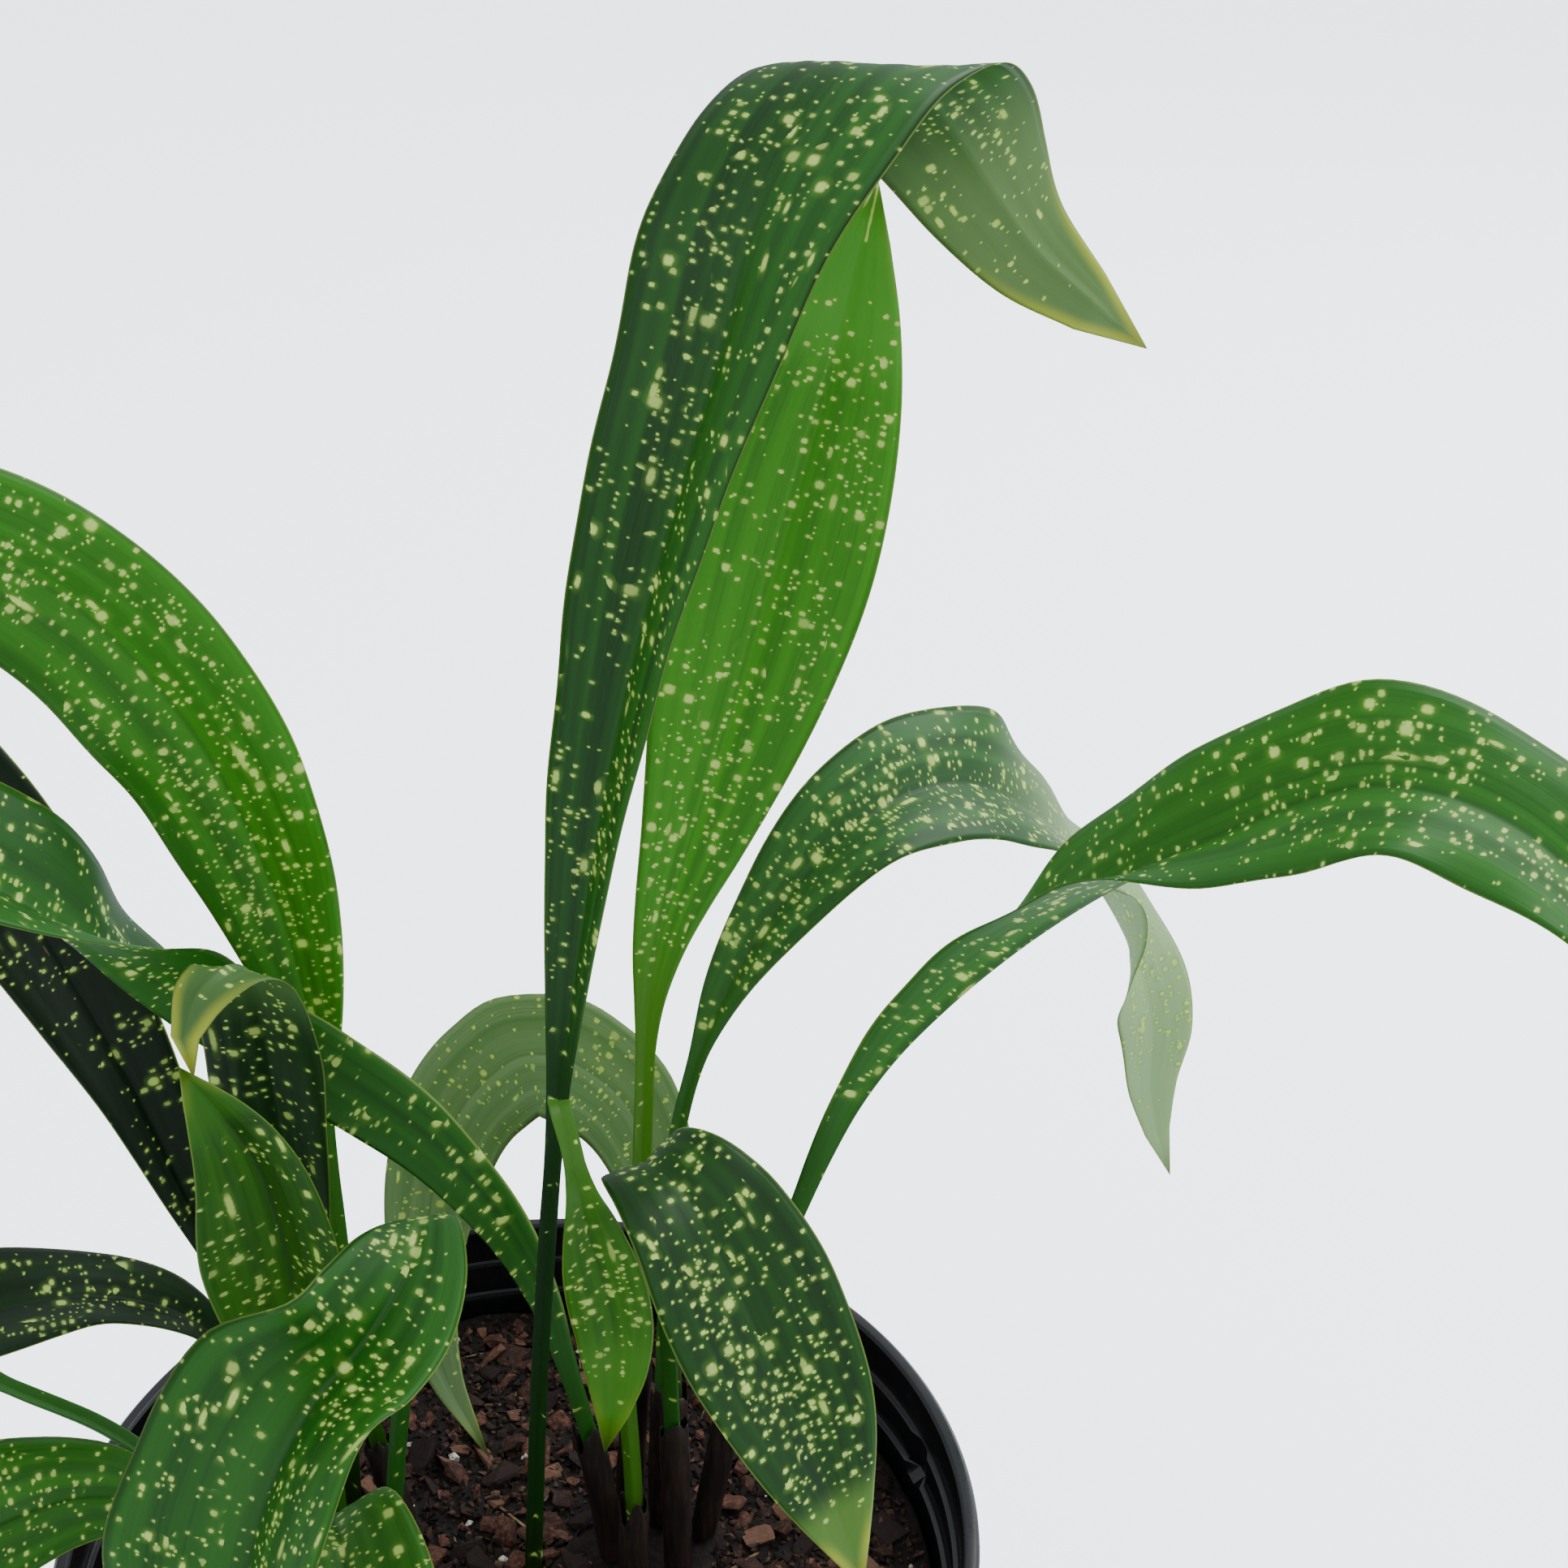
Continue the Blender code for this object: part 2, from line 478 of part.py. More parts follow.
def main():
    clear_scene()
    cutter_material = make_material("cutter", "#808080", 0.5)
    build_pot(cutter_material)
    build_soil(cutter_material)
    build_crowns()
    greens = {kind: make_material("leaf_" + kind + "_green", colour, 0.4)
              for kind, colour in LEAF_COLOURS.items()}
    for name, leaf in LEAVES.items():
        build_leaf(name, leaf, greens[leaf["colour"]])
    sheath_material = make_material("sheath_brown", "#4A3328", 0.8)
    for leaf_name, reach in SHEATHS.items():
        build_sheath(leaf_name, reach, sheath_material)


main()
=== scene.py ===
# %% [markdown]
# # A potted cast iron plant, step by step
#
# This lesson finishes a speckled cast iron plant in a black nursery pot. The solid model, the frame,
# is already made. Here every piece gets a finer shape and the look of the real thing: waxy leaves with
# cream spots, papery sheaths, bark mix and moulded plastic. Each piece starts from its own solid.

import json
import math
from functools import partial

import bmesh
import bpy
import numpy as np
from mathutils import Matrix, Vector, noise

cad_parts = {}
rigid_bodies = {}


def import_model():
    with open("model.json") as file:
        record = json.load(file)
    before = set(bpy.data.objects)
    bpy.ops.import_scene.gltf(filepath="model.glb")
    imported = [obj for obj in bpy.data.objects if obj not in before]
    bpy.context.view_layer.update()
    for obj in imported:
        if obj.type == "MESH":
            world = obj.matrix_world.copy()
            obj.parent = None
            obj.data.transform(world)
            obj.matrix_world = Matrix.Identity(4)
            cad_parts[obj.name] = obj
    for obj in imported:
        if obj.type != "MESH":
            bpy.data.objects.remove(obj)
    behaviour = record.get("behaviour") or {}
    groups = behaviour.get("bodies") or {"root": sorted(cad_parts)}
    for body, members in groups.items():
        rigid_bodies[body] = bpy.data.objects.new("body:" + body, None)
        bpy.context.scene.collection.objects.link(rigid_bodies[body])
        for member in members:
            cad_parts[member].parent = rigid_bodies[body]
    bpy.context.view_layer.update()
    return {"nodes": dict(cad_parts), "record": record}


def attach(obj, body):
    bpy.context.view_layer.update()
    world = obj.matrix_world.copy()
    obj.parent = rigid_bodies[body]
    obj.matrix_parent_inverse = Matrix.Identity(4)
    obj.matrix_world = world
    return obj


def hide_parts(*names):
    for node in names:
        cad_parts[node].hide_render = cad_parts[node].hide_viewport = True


MM = 0.001
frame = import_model()
slot_of = {part["node"]: part["material_slot"] for part in frame["record"]["subparts"]}

# %% [markdown]
# ## Small helpers
#
# Colours are sRGB hex values, as a paint chart gives them, and one function turns them to Blender's
# linear light. Another adds a node of any kind with its settings and links. The step that comes up
# most is a tint, where one colour turns to another as a pattern rises or falls.

# %% Colours and nodes
MATH, RANGE, MIX = "ShaderNodeMath", "ShaderNodeMapRange", "ShaderNodeMix"
VECTOR, NOISE = "ShaderNodeVectorMath", "ShaderNodeTexNoise"
SMOOTH = {"interpolation_type": "SMOOTHSTEP"}
COLOUR = {"data_type": "RGBA"}
TIMES, PLUS, MORE = {"operation": "MULTIPLY"}, {"operation": "ADD"}, {"operation": "MAXIMUM"}
STRETCH = {"operation": "MULTIPLY_ADD"}


def linear(hex_colour):
    """An sRGB hex colour as linear red, green, blue and full alpha."""
    channels = [int(hex_colour[i:i + 2], 16) / 255 for i in (1, 3, 5)]
    return (*[c / 12.92 if c <= 0.04045 else ((c + 0.055) / 1.055) ** 2.4 for c in channels], 1.0)


def repeats(size_mm):
    """How often a pattern with a grain of a size in millimetres repeats in a metre."""
    return 1 / (size_mm * MM)


def result(node):
    """The first output of a node that is in use."""
    return next(output for output in node.outputs if output.enabled)


def add(tree, kind, inputs=None, **settings):
    """Add a node, set its properties, then set or link its inputs by name or by place.

    Only the sockets in use count. A node given as an input is linked from its first output in use.
    """
    node = tree.nodes.new(kind)
    for name, value in settings.items():
        setattr(node, name, value)
    sockets = [socket for socket in node.inputs if socket.enabled]
    for key, value in (inputs or {}).items():
        socket = sockets[key] if isinstance(key, int) else next(s for s in sockets if s.name == key)
        if isinstance(value, bpy.types.Node):
            value = result(value)
        if isinstance(value, bpy.types.NodeSocket):
            tree.links.new(value, socket)
        else:
            socket.default_value = value
    return node


def new_material(name, **shader_values):
    """A material, its Principled shader with constants set on its sockets, and add for its tree."""
    material = bpy.data.materials.new(name)
    material.use_nodes = True
    shader = material.node_tree.nodes["Principled BSDF"]
    for socket, value in shader_values.items():
        shader.inputs[socket.replace("_", " ")].default_value = value
    return material, shader, partial(add, material.node_tree)


def wire(shader, **sources):
    """Link a node to each named socket of a shader."""
    for socket, source in sources.items():
        shader.id_data.links.new(result(source), shader.inputs[socket.replace("_", " ")])


def tint(node, colour, other, pattern, start, end, low=0.0, high=1.0, times=None):
    """Mix a colour with another one: a low share of it where the pattern is at start, high at end."""
    share = node(RANGE, {0: pattern, 1: start, 2: end, 3: low, 4: high}, **SMOOTH)
    if times is not None:
        share = node(MATH, {0: share, 1: times}, **TIMES)
    return node(MIX, {0: share, 1: colour, 2: linear(other)}, **COLOUR)


print("mid grey in linear light:", round(linear("#808080")[0], 3))

# %% [markdown]
# ## Meshes
#
# A piece is a closed mesh at the origin with its place in its corners, as the frame's own solids are.
# A mesh that came out inside out has a negative volume, so its faces are turned. Each finished piece
# then rides on the one body, and the solid whose place it takes is hidden.

# %% Mesh helpers
def in_scene(name, data):
    """A new object in the scene that shows a mesh, a light or a camera."""
    item = bpy.data.objects.new(name, data)
    bpy.context.scene.collection.objects.link(item)
    return item


def joined(node):
    """A bmesh of a solid, with its loose triangles joined at their corners."""
    builder = bmesh.new()
    builder.from_mesh(frame["nodes"][node].data)
    bmesh.ops.remove_doubles(builder, verts=builder.verts, dist=0.01 * MM)
    return builder


def mesh_object(name, points_mm, faces, material):
    """A smooth-shaded mesh object at the origin from points in millimetres."""
    mesh = bpy.data.meshes.new(name)
    mesh.from_pydata([tuple(p) for p in np.asarray(points_mm, float) * MM], [], faces)
    builder = bmesh.new()
    builder.from_mesh(mesh)
    if builder.calc_volume(signed=True) < 0:
        bmesh.ops.reverse_faces(builder, faces=builder.faces)
    builder.to_mesh(mesh)
    builder.free()
    mesh.shade_smooth()
    mesh.materials.append(material)
    return in_scene(name, mesh)


def settle(item):
    """Give an object the plain mesh that its modifiers make, and take them off."""
    mesh = bpy.data.meshes.new_from_object(item.evaluated_get(bpy.context.evaluated_depsgraph_get()))
    item.modifiers.clear()
    item.data = mesh
    return mesh


def stand_in(item, node=None):
    """Put a piece on the body, and hide the node whose place it takes."""
    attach(item, "root")
    if node:
        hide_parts(node)


print("mesh helpers ready")

# %% [markdown]
# ## Floor, light and camera
#
# The plant stands on a white table in soft daylight. A wide window light behind and to the right puts
# sheen on the faces that turn that way and shines through the blades. The room is dimmer on the left,
# which keeps the other faces deep green, so the world gets darker from right to left. The white table
# is overexposed. More lamps would wash out the plant as well, so the table itself glows a little, but
# only to the camera and not onto the plant.

# %% Stage, lights and camera
FLOOR_HALF = 4.0
TABLE_GLOW = 2.2
BRIGHT_SIDE, DIM_SIDE = 1.45, 0.85  # strength of the room's light from the right and the left
MIDDLE = (0.0, 0.0, 0.3)

table_paint, shader, node = new_material("painted_table", Roughness=0.6, Emission_Color=linear("#F4F8FF"))
clouds = node(NOISE, {"Scale": repeats(330), "Detail": 4.0})
white = node(MIX, {0: clouds, 1: linear("#F6F9FC"), 2: linear("#F0F4F8")}, **COLOUR)
seen = node("ShaderNodeLightPath").outputs["Is Camera Ray"]
wire(shader, Base_Color=white, Emission_Strength=node(MATH, {0: seen, 1: TABLE_GLOW}, **TIMES))
edge = FLOOR_HALF / MM
floor_corners = [(-edge, -edge, 0), (edge, -edge, 0), (edge, edge, 0), (-edge, edge, 0)]
floor = mesh_object("table", floor_corners, [(0, 1, 2, 3)], table_paint)


def area_light(name, place, size, power, colour):
    """A square soft light aimed at the middle of the plant."""
    light = bpy.data.lights.new(name, "AREA")
    light.shape, light.size, light.energy = "SQUARE", size, power
    light.color = linear(colour)[:3]
    lamp = in_scene(name, light)
    lamp.location = place
    lamp.rotation_euler = (Vector(MIDDLE) - Vector(place)).to_track_quat("-Z", "Y").to_euler()


area_light("window", (1.25, 1.0, 1.7), 1.8, 46, "#FBFCFF")
area_light("room_fill", (-0.9, -1.2, 1.5), 1.6, 8, "#F2F7FF")

world = bpy.data.worlds.new("room")
world.use_nodes = True
node = partial(add, world.node_tree)
sides = node("ShaderNodeSeparateXYZ", {0: node("ShaderNodeTexCoord").outputs["Generated"]})
strength = node(RANGE, {0: sides, 1: -1.0, 2: 1.0, 3: DIM_SIDE, 4: BRIGHT_SIDE})
background = world.node_tree.nodes["Background"]
background.inputs["Color"].default_value = linear("#EDF2F8")
wire(background, Strength=strength)
bpy.context.scene.world = world

camera_data = bpy.data.cameras.new("camera")
camera_data.lens, camera_data.sensor_width, camera_data.clip_end = 50, 36, 50
camera = in_scene("camera", camera_data)
camera.location = (0.0654, -0.3813, 0.6447)
camera.rotation_euler = (math.radians(60.35), 0, 0)
bpy.context.scene.camera = camera
print("stage, two lights and camera are set")

# %% [markdown]
# ## Spots
#
# This cast iron plant has cream spots all over, from pinpricks to long dashes. The small ones are
# squarish, a little wider across the leaf than along it, and crowd together in drifts. The few long
# ones run along the veins. Painting them would need a picture, so cell noise makes them from sizes:
# each layer is a grid of cells in the leaf's own millimetres, and the colour of a cell is the dice
# that says whether it holds a spot and how big. Both faces of a leaf read the same millimetres, so a
# spot shows on both sides, as the real ones do.

# %% Spots from layers of cells
# Cell size across and along in millimetres, smallest and largest radius as a share of a cell, and
# the share of cells that hold a spot.
SPOT_LAYERS = (
    (1.9, 1.4, 0.14, 0.27, 0.18),  # pinpricks
    (3.1, 2.3, 0.16, 0.29, 0.23),  # dots
    (5.0, 4.6, 0.16, 0.29, 0.11),  # blots
    (3.8, 9.0, 0.14, 0.21, 0.060),  # dashes
    (6.0, 30.0, 0.09, 0.14, 0.045),  # long streaks
)
SCAR_LAYERS = ((7.0, 46.0, 0.03, 0.05, 0.05),)  # thin dry scratches
RAGGED_MM, RAGGED_PER_MM = (0.40, 0.40, 0.0), 1.1  # how far and how often an outline wobbles
FAINTEST = 0.55  # strength of the faintest spot
SQUARISH = 2.8  # 2 would make the spots round, more makes them squarer
SPOT_EDGE = {1: 0.55, 2: 1.15, 3: 1.0, 4: 0.0}  # where a spot fades out, in its own radii
RIM_EDGE = {1: 0.9, 2: 2.2, 3: 1.0, 4: 0.0}  # and where the softer rim round it does


def spot_masks(node, places, crowding, layers, seed):
    """How far a point is inside any spot, and inside the softer rim round it."""
    wobble = node(NOISE, {"Vector": places, "Scale": RAGGED_PER_MM, "Detail": 1.0}).outputs["Color"]
    push = node(VECTOR, {0: wobble, 1: (0.5, 0.5, 0.5)}, operation="SUBTRACT")
    shaken = node(VECTOR, {0: push, 1: RAGGED_MM, 2: places}, **STRETCH)
    spots = rims = None
    for number, (across, along, smallest, largest, share) in enumerate(layers):
        # No two leaves or layers line up.
        offset = (seed * 7.31 + number * 3.7, seed * 4.17 + number * 9.1, 0.0)
        cells = node(VECTOR, {0: shaken, 1: (1 / across, 1 / along, 0.0), 2: offset}, **STRETCH)
        voronoi = node("ShaderNodeTexVoronoi", {"Vector": cells, "Scale": 1.0, "Exponent": SQUARISH},
                       voronoi_dimensions="2D", distance="MINKOWSKI")
        dice = node("ShaderNodeSeparateColor", {0: voronoi.outputs["Color"]})
        radius = node(RANGE, {0: dice.outputs[1], 3: smallest, 4: largest})
        chance = node(MATH, {0: crowding, 1: share}, **TIMES)
        held = node(MATH, {0: dice.outputs[0], 1: chance}, operation="LESS_THAN")
        strength = node(RANGE, {0: dice.outputs[2], 1: 0.0, 2: 0.7, 3: FAINTEST})
        there = node(MATH, {0: held, 1: strength}, **TIMES)
        depth = node(MATH, {0: voronoi, 1: radius}, operation="DIVIDE")
        inside = node(MATH, {0: node(RANGE, {0: depth, **SPOT_EDGE}, **SMOOTH), 1: there}, **TIMES)
        around = node(MATH, {0: node(RANGE, {0: depth, **RIM_EDGE}, **SMOOTH), 1: there}, **TIMES)
        spots = node(MATH, {0: spots, 1: inside}, **MORE) if spots else inside
        rims = node(MATH, {0: rims, 1: around}, **MORE) if rims else around
    return spots, rims


print(len(SPOT_LAYERS), "layers of spots")

# %% [markdown]
# ## The leaf finish
#
# The blade is a leathery, waxy cuticle over parallel veins. The wax is a dielectric of index near 1.45
# and gives a soft sheen. Broad lighter and darker bands run lengthwise: painted light and shade of the
# blade's pleats and of the light shining through it. Fine veins run over them, and along the midrib the
# green is painted darker, as shade in its groove. The margin is a thin pale line, and the stalk is
# brown where it leaves the mix. Light from behind shines through, so a translucent shader is mixed in.
#
# Each leaf carries its own measures for this: across and along in millimetres, the distance to the
# margin, and the share of its width and of its length.

# %% Leaf greens
SPOT_CREAM, SPOT_HALO, SCAR_BROWN = "#DDF485", "#6E9C34", "#9C8A5E"
MARGIN_PALE, VEIN_DEEP, TIP_YELLOW, STALK_BROWN = "#9DBB55", "#08160A", "#C2CC3A", "#1C120E"
# The bands are painted light and shade of the pleats and of the light through the blade; the veins are its
# own.
BANDS, VEINS = 4.2, 36.0  # how often they repeat across a half blade
# Where a tint starts and ends, and its share at each.
# Painted light and shade: broad lengthwise bands of lighter and darker green.
PAINTED_LIGHT_BAND = (0.34, 0.66)
PALE_VEIN = (0.40, 0.72, 0.0, 0.32)
DARK_VEIN = (0.28, 0.50, 0.30, 0.0)
# Painted shade: the green darker along the midrib's groove.
GROOVE_SHADE = (0.0, 0.045, 0.35, 0.0)  # in half widths from the middle


def leaf_green(node, shares, off_middle, deep, light, seed):
    """The blade's green, with lengthwise bands and fine veins, and the vein pattern itself."""
    band_places = node(VECTOR, {0: shares, 1: (BANDS, 1.2, 0.0), 2: (seed * 3.3, 0, 0)}, **STRETCH)
    bands = node(NOISE, {"Vector": band_places, "Scale": 1.0, "Detail": 1.5})
    vein_places = node(VECTOR, {0: shares, 1: (VEINS, 1.5, 0.0), 2: (seed, 0, 0)}, **STRETCH)
    veins = node(NOISE, {"Vector": vein_places, "Scale": 1.0, "Detail": 3.0, "Roughness": 0.6})
    # Painted light and shade: lighter and darker lengthwise bands.
    green = tint(node, linear(deep), light, bands, *PAINTED_LIGHT_BAND)
    green = tint(node, green, light, veins, *PALE_VEIN)
    green = tint(node, green, VEIN_DEEP, veins, *DARK_VEIN)
    # Painted shade along the midrib's groove.
    return tint(node, green, VEIN_DEEP, off_middle, *GROOVE_SHADE), veins


print("margin", MARGIN_PALE, "spots", SPOT_CREAM)

# %% Leaf material
TRANSLUCENT_SHARE = 0.34
TIP_SHARE, HALO_SHARE, SCAR_SHARE = 0.75, 0.40, 0.6
OLD_EDGE = (0.4, 3.5, 1.0, 0.0)  # millimetres from the margin, and the tint's share at each
MARGIN_LINE = (0.12, 0.52, 0.75, 0.0)
BROWN_BASE = (14.0, 42.0, 0.95, 0.0)  # millimetres from the base, likewise
DRIFTS_PER_MM = 0.055  # so the spots crowd together about every 18 mm
DRIFTS = {1: 0.34, 2: 0.66, 3: 0.45, 4: 1.7}  # between the drifts and in them
OFF_MARGIN = {1: 0.6, 2: 1.0, 3: 1.0, 4: 0.4}  # fewer towards the margins
OFF_TIP = {1: 0.91, 2: 0.98, 3: 1.0, 4: 0.1}  # hardly any at the tip
ON_STALK = 0.12  # share of the spots that a stalk has
WAX = {1: 0.3, 2: 0.7, 3: 0.38, 4: 0.52}  # roughness over the vein pattern


def leaf_material(name, deep, light, stalk, tip, tip_from, yellowing, speckle, glow, painted_shade, seed):
    """Waxy speckled leaf: deep and light are the blade's greens, glow is its look with light behind.

    Yellowing is how far the margins at the tip have turned. Painted shade makes one half deeper,
    where the fold shades it: under 0 the first half, over 0 the second.
    """
    material, shader, node = new_material(name, IOR=1.45, Specular_IOR_Level=0.42)
    measures = node("ShaderNodeAttribute", attribute_name="leaf_mm").outputs["Vector"]
    shares = node("ShaderNodeAttribute", attribute_name="leaf_share").outputs["Vector"]
    _, far_along, to_margin = node("ShaderNodeSeparateXYZ", {0: measures}).outputs
    across, along, stalkness = node("ShaderNodeSeparateXYZ", {0: shares}).outputs
    off_middle = node(MATH, {0: across}, operation="ABSOLUTE")
    bladeness = node(RANGE, {0: stalkness, 1: 0.0, 2: 0.6, 3: 1.0, 4: 0.0})
    green, veins = leaf_green(node, shares, off_middle, deep, light, seed)
    # Painted shade: one half of the blade deeper, where the fold shades it.
    green = tint(node, green, VEIN_DEEP, across, -0.1, 0.1, max(-painted_shade, 0.0), max(painted_shade, 0.0))

    pale_from = 0.5 + tip_from / 2
    # The tip's colour: its own ageing, and on the tall and mid_right leaves partly painted haze of the
    # light from behind.
    green = tint(node, green, tip, along, tip_from, pale_from, 0.0, TIP_SHARE)
    last_bit = node(RANGE, {0: along, 1: pale_from, 2: 1.0, 4: yellowing}, **SMOOTH)
    green = tint(node, green, TIP_YELLOW, to_margin, *OLD_EDGE, times=last_bit)
    green = node(MIX, {0: stalkness, 1: green, 2: linear(stalk)}, **COLOUR)
    green = tint(node, green, STALK_BROWN, far_along, *BROWN_BASE)
    green = tint(node, green, MARGIN_PALE, to_margin, *MARGIN_LINE, times=bladeness)

    drift = node(NOISE, {"Vector": measures, "Scale": DRIFTS_PER_MM, "Detail": 2.0})
    crowd = node(RANGE, {0: stalkness, 1: 0.2, 2: 0.8, 3: speckle, 4: ON_STALK * speckle})
    off_tip = node(RANGE, {0: along, **OFF_TIP}, **SMOOTH)
    for share in (node(RANGE, {0: drift, **DRIFTS}, **SMOOTH),
                  node(RANGE, {0: off_middle, **OFF_MARGIN}, **SMOOTH), off_tip):
        crowd = node(MATH, {0: crowd, 1: share}, **TIMES)
    spots, rims = spot_masks(node, measures, crowd, SPOT_LAYERS, seed)
    scarred = node(MATH, {0: bladeness, 1: off_tip}, **TIMES)
    scars, _ = spot_masks(node, measures, scarred, SCAR_LAYERS, seed + 40)
    halo = node(MATH, {0: rims, 1: HALO_SHARE}, **TIMES)
    scar = node(MATH, {0: scars, 1: SCAR_SHARE}, **TIMES)
    colour = green
    for share, cover in ((halo, SPOT_HALO), (scar, SCAR_BROWN), (spots, SPOT_CREAM)):
        colour = node(MIX, {0: share, 1: colour, 2: linear(cover)}, **COLOUR)

    rough = node(RANGE, {0: veins, **WAX})
    relief = node(MATH, {0: spots, 1: 0.25, 2: veins}, **STRETCH)
    bump = node("ShaderNodeBump", {"Height": relief, "Strength": 0.5, "Distance": 0.12 * MM})
    wire(shader, Base_Color=colour, Roughness=rough, Normal=bump)
    through = node(MIX, {0: spots, 1: linear(glow), 2: linear(SPOT_CREAM)}, **COLOUR)
    back = node("ShaderNodeBsdfTranslucent", {"Color": through})
    both = node("ShaderNodeMixShader", {0: TRANSLUCENT_SHARE, 1: shader, 2: back})
    wire(material.node_tree.nodes["Material Output"], Surface=both)
    return material


print("leaf finish ready")

# %% [markdown]
# ## Reading a leaf's rings
#
# A leaf's solid is a stack of eight-cornered rings. Starting at the flat base and stepping from corner
# to corner finds them in order. The two corners that are farthest apart on the widest ring are the
# margins, and the deeper of the two middle corners is the midrib's ridge underneath.

# %% Reading the rings of a leaf solid
BASE_HEIGHT = 190.3
CORNERS = 8
STALK_REACH = 8.0  # millimetres within which a base ring's corners lie


def corners_of(node):
    """Corner points in millimetres and the neighbours of each."""
    builder = joined(node)
    builder.verts.index_update()
    points = np.array([v.co for v in builder.verts]) / MM
    neighbours = [[edge.other_vert(v).index for edge in v.link_edges] for v in builder.verts]
    builder.free()
    return points, neighbours


def base_ring(points):
    """The corners of the flat base, in order round it."""
    level = np.flatnonzero(abs(points[:, 2] - BASE_HEIGHT) < 0.02)
    around = points[level, :2] - points[level, :2].mean(axis=0)
    keep = np.hypot(*around.T) < STALK_REACH
    level, around = level[keep], around[keep]
    return [int(i) for i in level[np.argsort(np.arctan2(around[:, 1], around[:, 0]))]]


def round_order(members, neighbours):
    """A ring's corners in order, found by walking its own edges."""
    walk = [members[0]]
    while len(walk) < len(members):
        walk.append(next(j for j in neighbours[walk[-1]] if j in members and j not in walk))
    return walk


def like_previous(ring, previous):
    """Turn or reverse a ring so that its corners match the previous ring's."""
    turns = [np.roll(order, k, axis=0) for order in (ring, ring[::-1]) for k in range(CORNERS)]
    shape = previous - previous.mean(axis=0)
    return min(turns, key=lambda turn: np.sum((turn - turn.mean(axis=0) - shape) ** 2))


def leaf_rings(node):
    """All rings as an array (ring, corner, xyz) with the margins at 0 and 4, and the tip point."""
    points, neighbours = corners_of(node)
    layer = base_ring(points)
    seen, rings = set(layer), [points[layer]]
    while True:
        layer = sorted({j for i in layer for j in neighbours[i]} - seen)
        seen |= set(layer)
        if len(layer) < CORNERS:
            break
        rings.append(like_previous(points[round_order(layer, neighbours)], rings[-1]))
    rings, tip = np.array(rings), points[layer[0]]
    spans = np.linalg.norm(rings[:, :4] - rings[:, 4:], axis=2)
    rings = np.roll(rings, -int(np.argmax(spans[np.argmax(spans.max(axis=1))])), axis=1)
    middle = (rings[0, 0] + rings[0, 4]) / 2
    if np.linalg.norm(rings[0, 2] - middle) > np.linalg.norm(rings[0, 6] - middle):
        rings = rings[:, [0, 7, 6, 5, 4, 3, 2, 1]]
    return rings, tip


leaves = [node for node in slot_of if node.startswith("leaf_")]
print(len(leaves), "leaves, rings each:", {len(leaf_rings(node)[0]) for node in leaves})

# %% [markdown]
# ## Growing the fine leaf
#
# Between the rings the leaf is a smooth curve, so a cubic through them gives as many rows as wanted. A
# subdivision surface would round the thin margins away, so the rows are worked out directly.

# %% Cubic curves through the rings
ROW_STEP = 2.2  # millimetres between rows


def unit(vectors):
    """The same directions with a length of 1."""
    return vectors / np.maximum(np.linalg.norm(vectors, axis=-1, keepdims=True), 1e-9)


def through_rings(rows, knots, places):
    """Cubic curves through rows of points, read at places along them."""
    flat = rows.reshape(len(rows), -1)
    steps = np.diff(knots)
    slopes = np.diff(flat, axis=0) / steps[:, None]
    tangents = np.empty_like(flat)
    tangents[0], tangents[-1] = slopes[0], slopes[-1]
    before, after = steps[:-1, None], steps[1:, None]
    tangents[1:-1] = (slopes[:-1] * after + slopes[1:] * before) / (before + after)
    index = np.clip(np.searchsorted(knots, places, side="right") - 1, 0, len(knots) - 2)
    step = steps[index][:, None]
    x = (places - knots[index])[:, None] / step
    curve = ((2 * x**3 - 3 * x**2 + 1) * flat[index] + (x**3 - 2 * x**2 + x) * step * tangents[index]
             + (3 * x**2 - 2 * x**3) * flat[index + 1] + (x**3 - x**2) * step * tangents[index + 1])
    return curve.reshape(-1, *rows.shape[1:])


def fine_rows(rings):
    """Rows of eight corners at an even step, and how far along the leaf each is, in millimetres."""
    centre = (rings[:, 2] + rings[:, 6]) / 2
    knots = np.concatenate([[0], np.cumsum(np.linalg.norm(np.diff(centre, axis=0), axis=1))])
    along = np.linspace(0, knots[-1], int(knots[-1] / ROW_STEP) + 1)
    return through_rings(rings, knots, along), along


print("rows every", ROW_STEP, "mm")

# %% [markdown]
# ## Across the blade
#
# Twenty-three columns run from margin to margin, closer together at the middle. The surface starts as
# the solid's own shallow V. A slight camber, shallow pleats between the main veins and waves along the
# margins lift it a little. The thickness is then laid on both sides and runs out at the margins, and
# underneath the midrib stands out as a narrow rounded rib that grows into the stalk.

# %% The blade's surface and thickness
HALF_COLUMNS = 11  # columns in each half of the blade
CAMBER = 0.030  # bulge of a half blade, as a share of its width
PLEAT, PLEATS = 0.13, 3.5  # height of a pleat in millimetres, and how many in each half
WAVE = 0.034  # height of the margin's waves, as a share of the half width
SLOW, QUICK = (9.5, 10.5), (5.6, 6.1)  # millimetres to a radian of the left and right margin's waves
QUICK_HEIGHT = 0.7  # of a slow wave's
RIB_WIDTH = 1.3  # millimetres
STALK_HALF_WIDTH = 2.5
WIDENING = 8.0  # millimetres of half width over which a stalk becomes a blade
STALK_THICKNESS = 1.15
THIN = 0.35  # half the blade's thickness
FULL_AT = 4.0  # half width from which the blade has its full thickness
EVEN = np.linspace(-1, 1, 2 * HALF_COLUMNS + 1)
SHARES = np.sign(EVEN) * abs(EVEN) ** 1.25


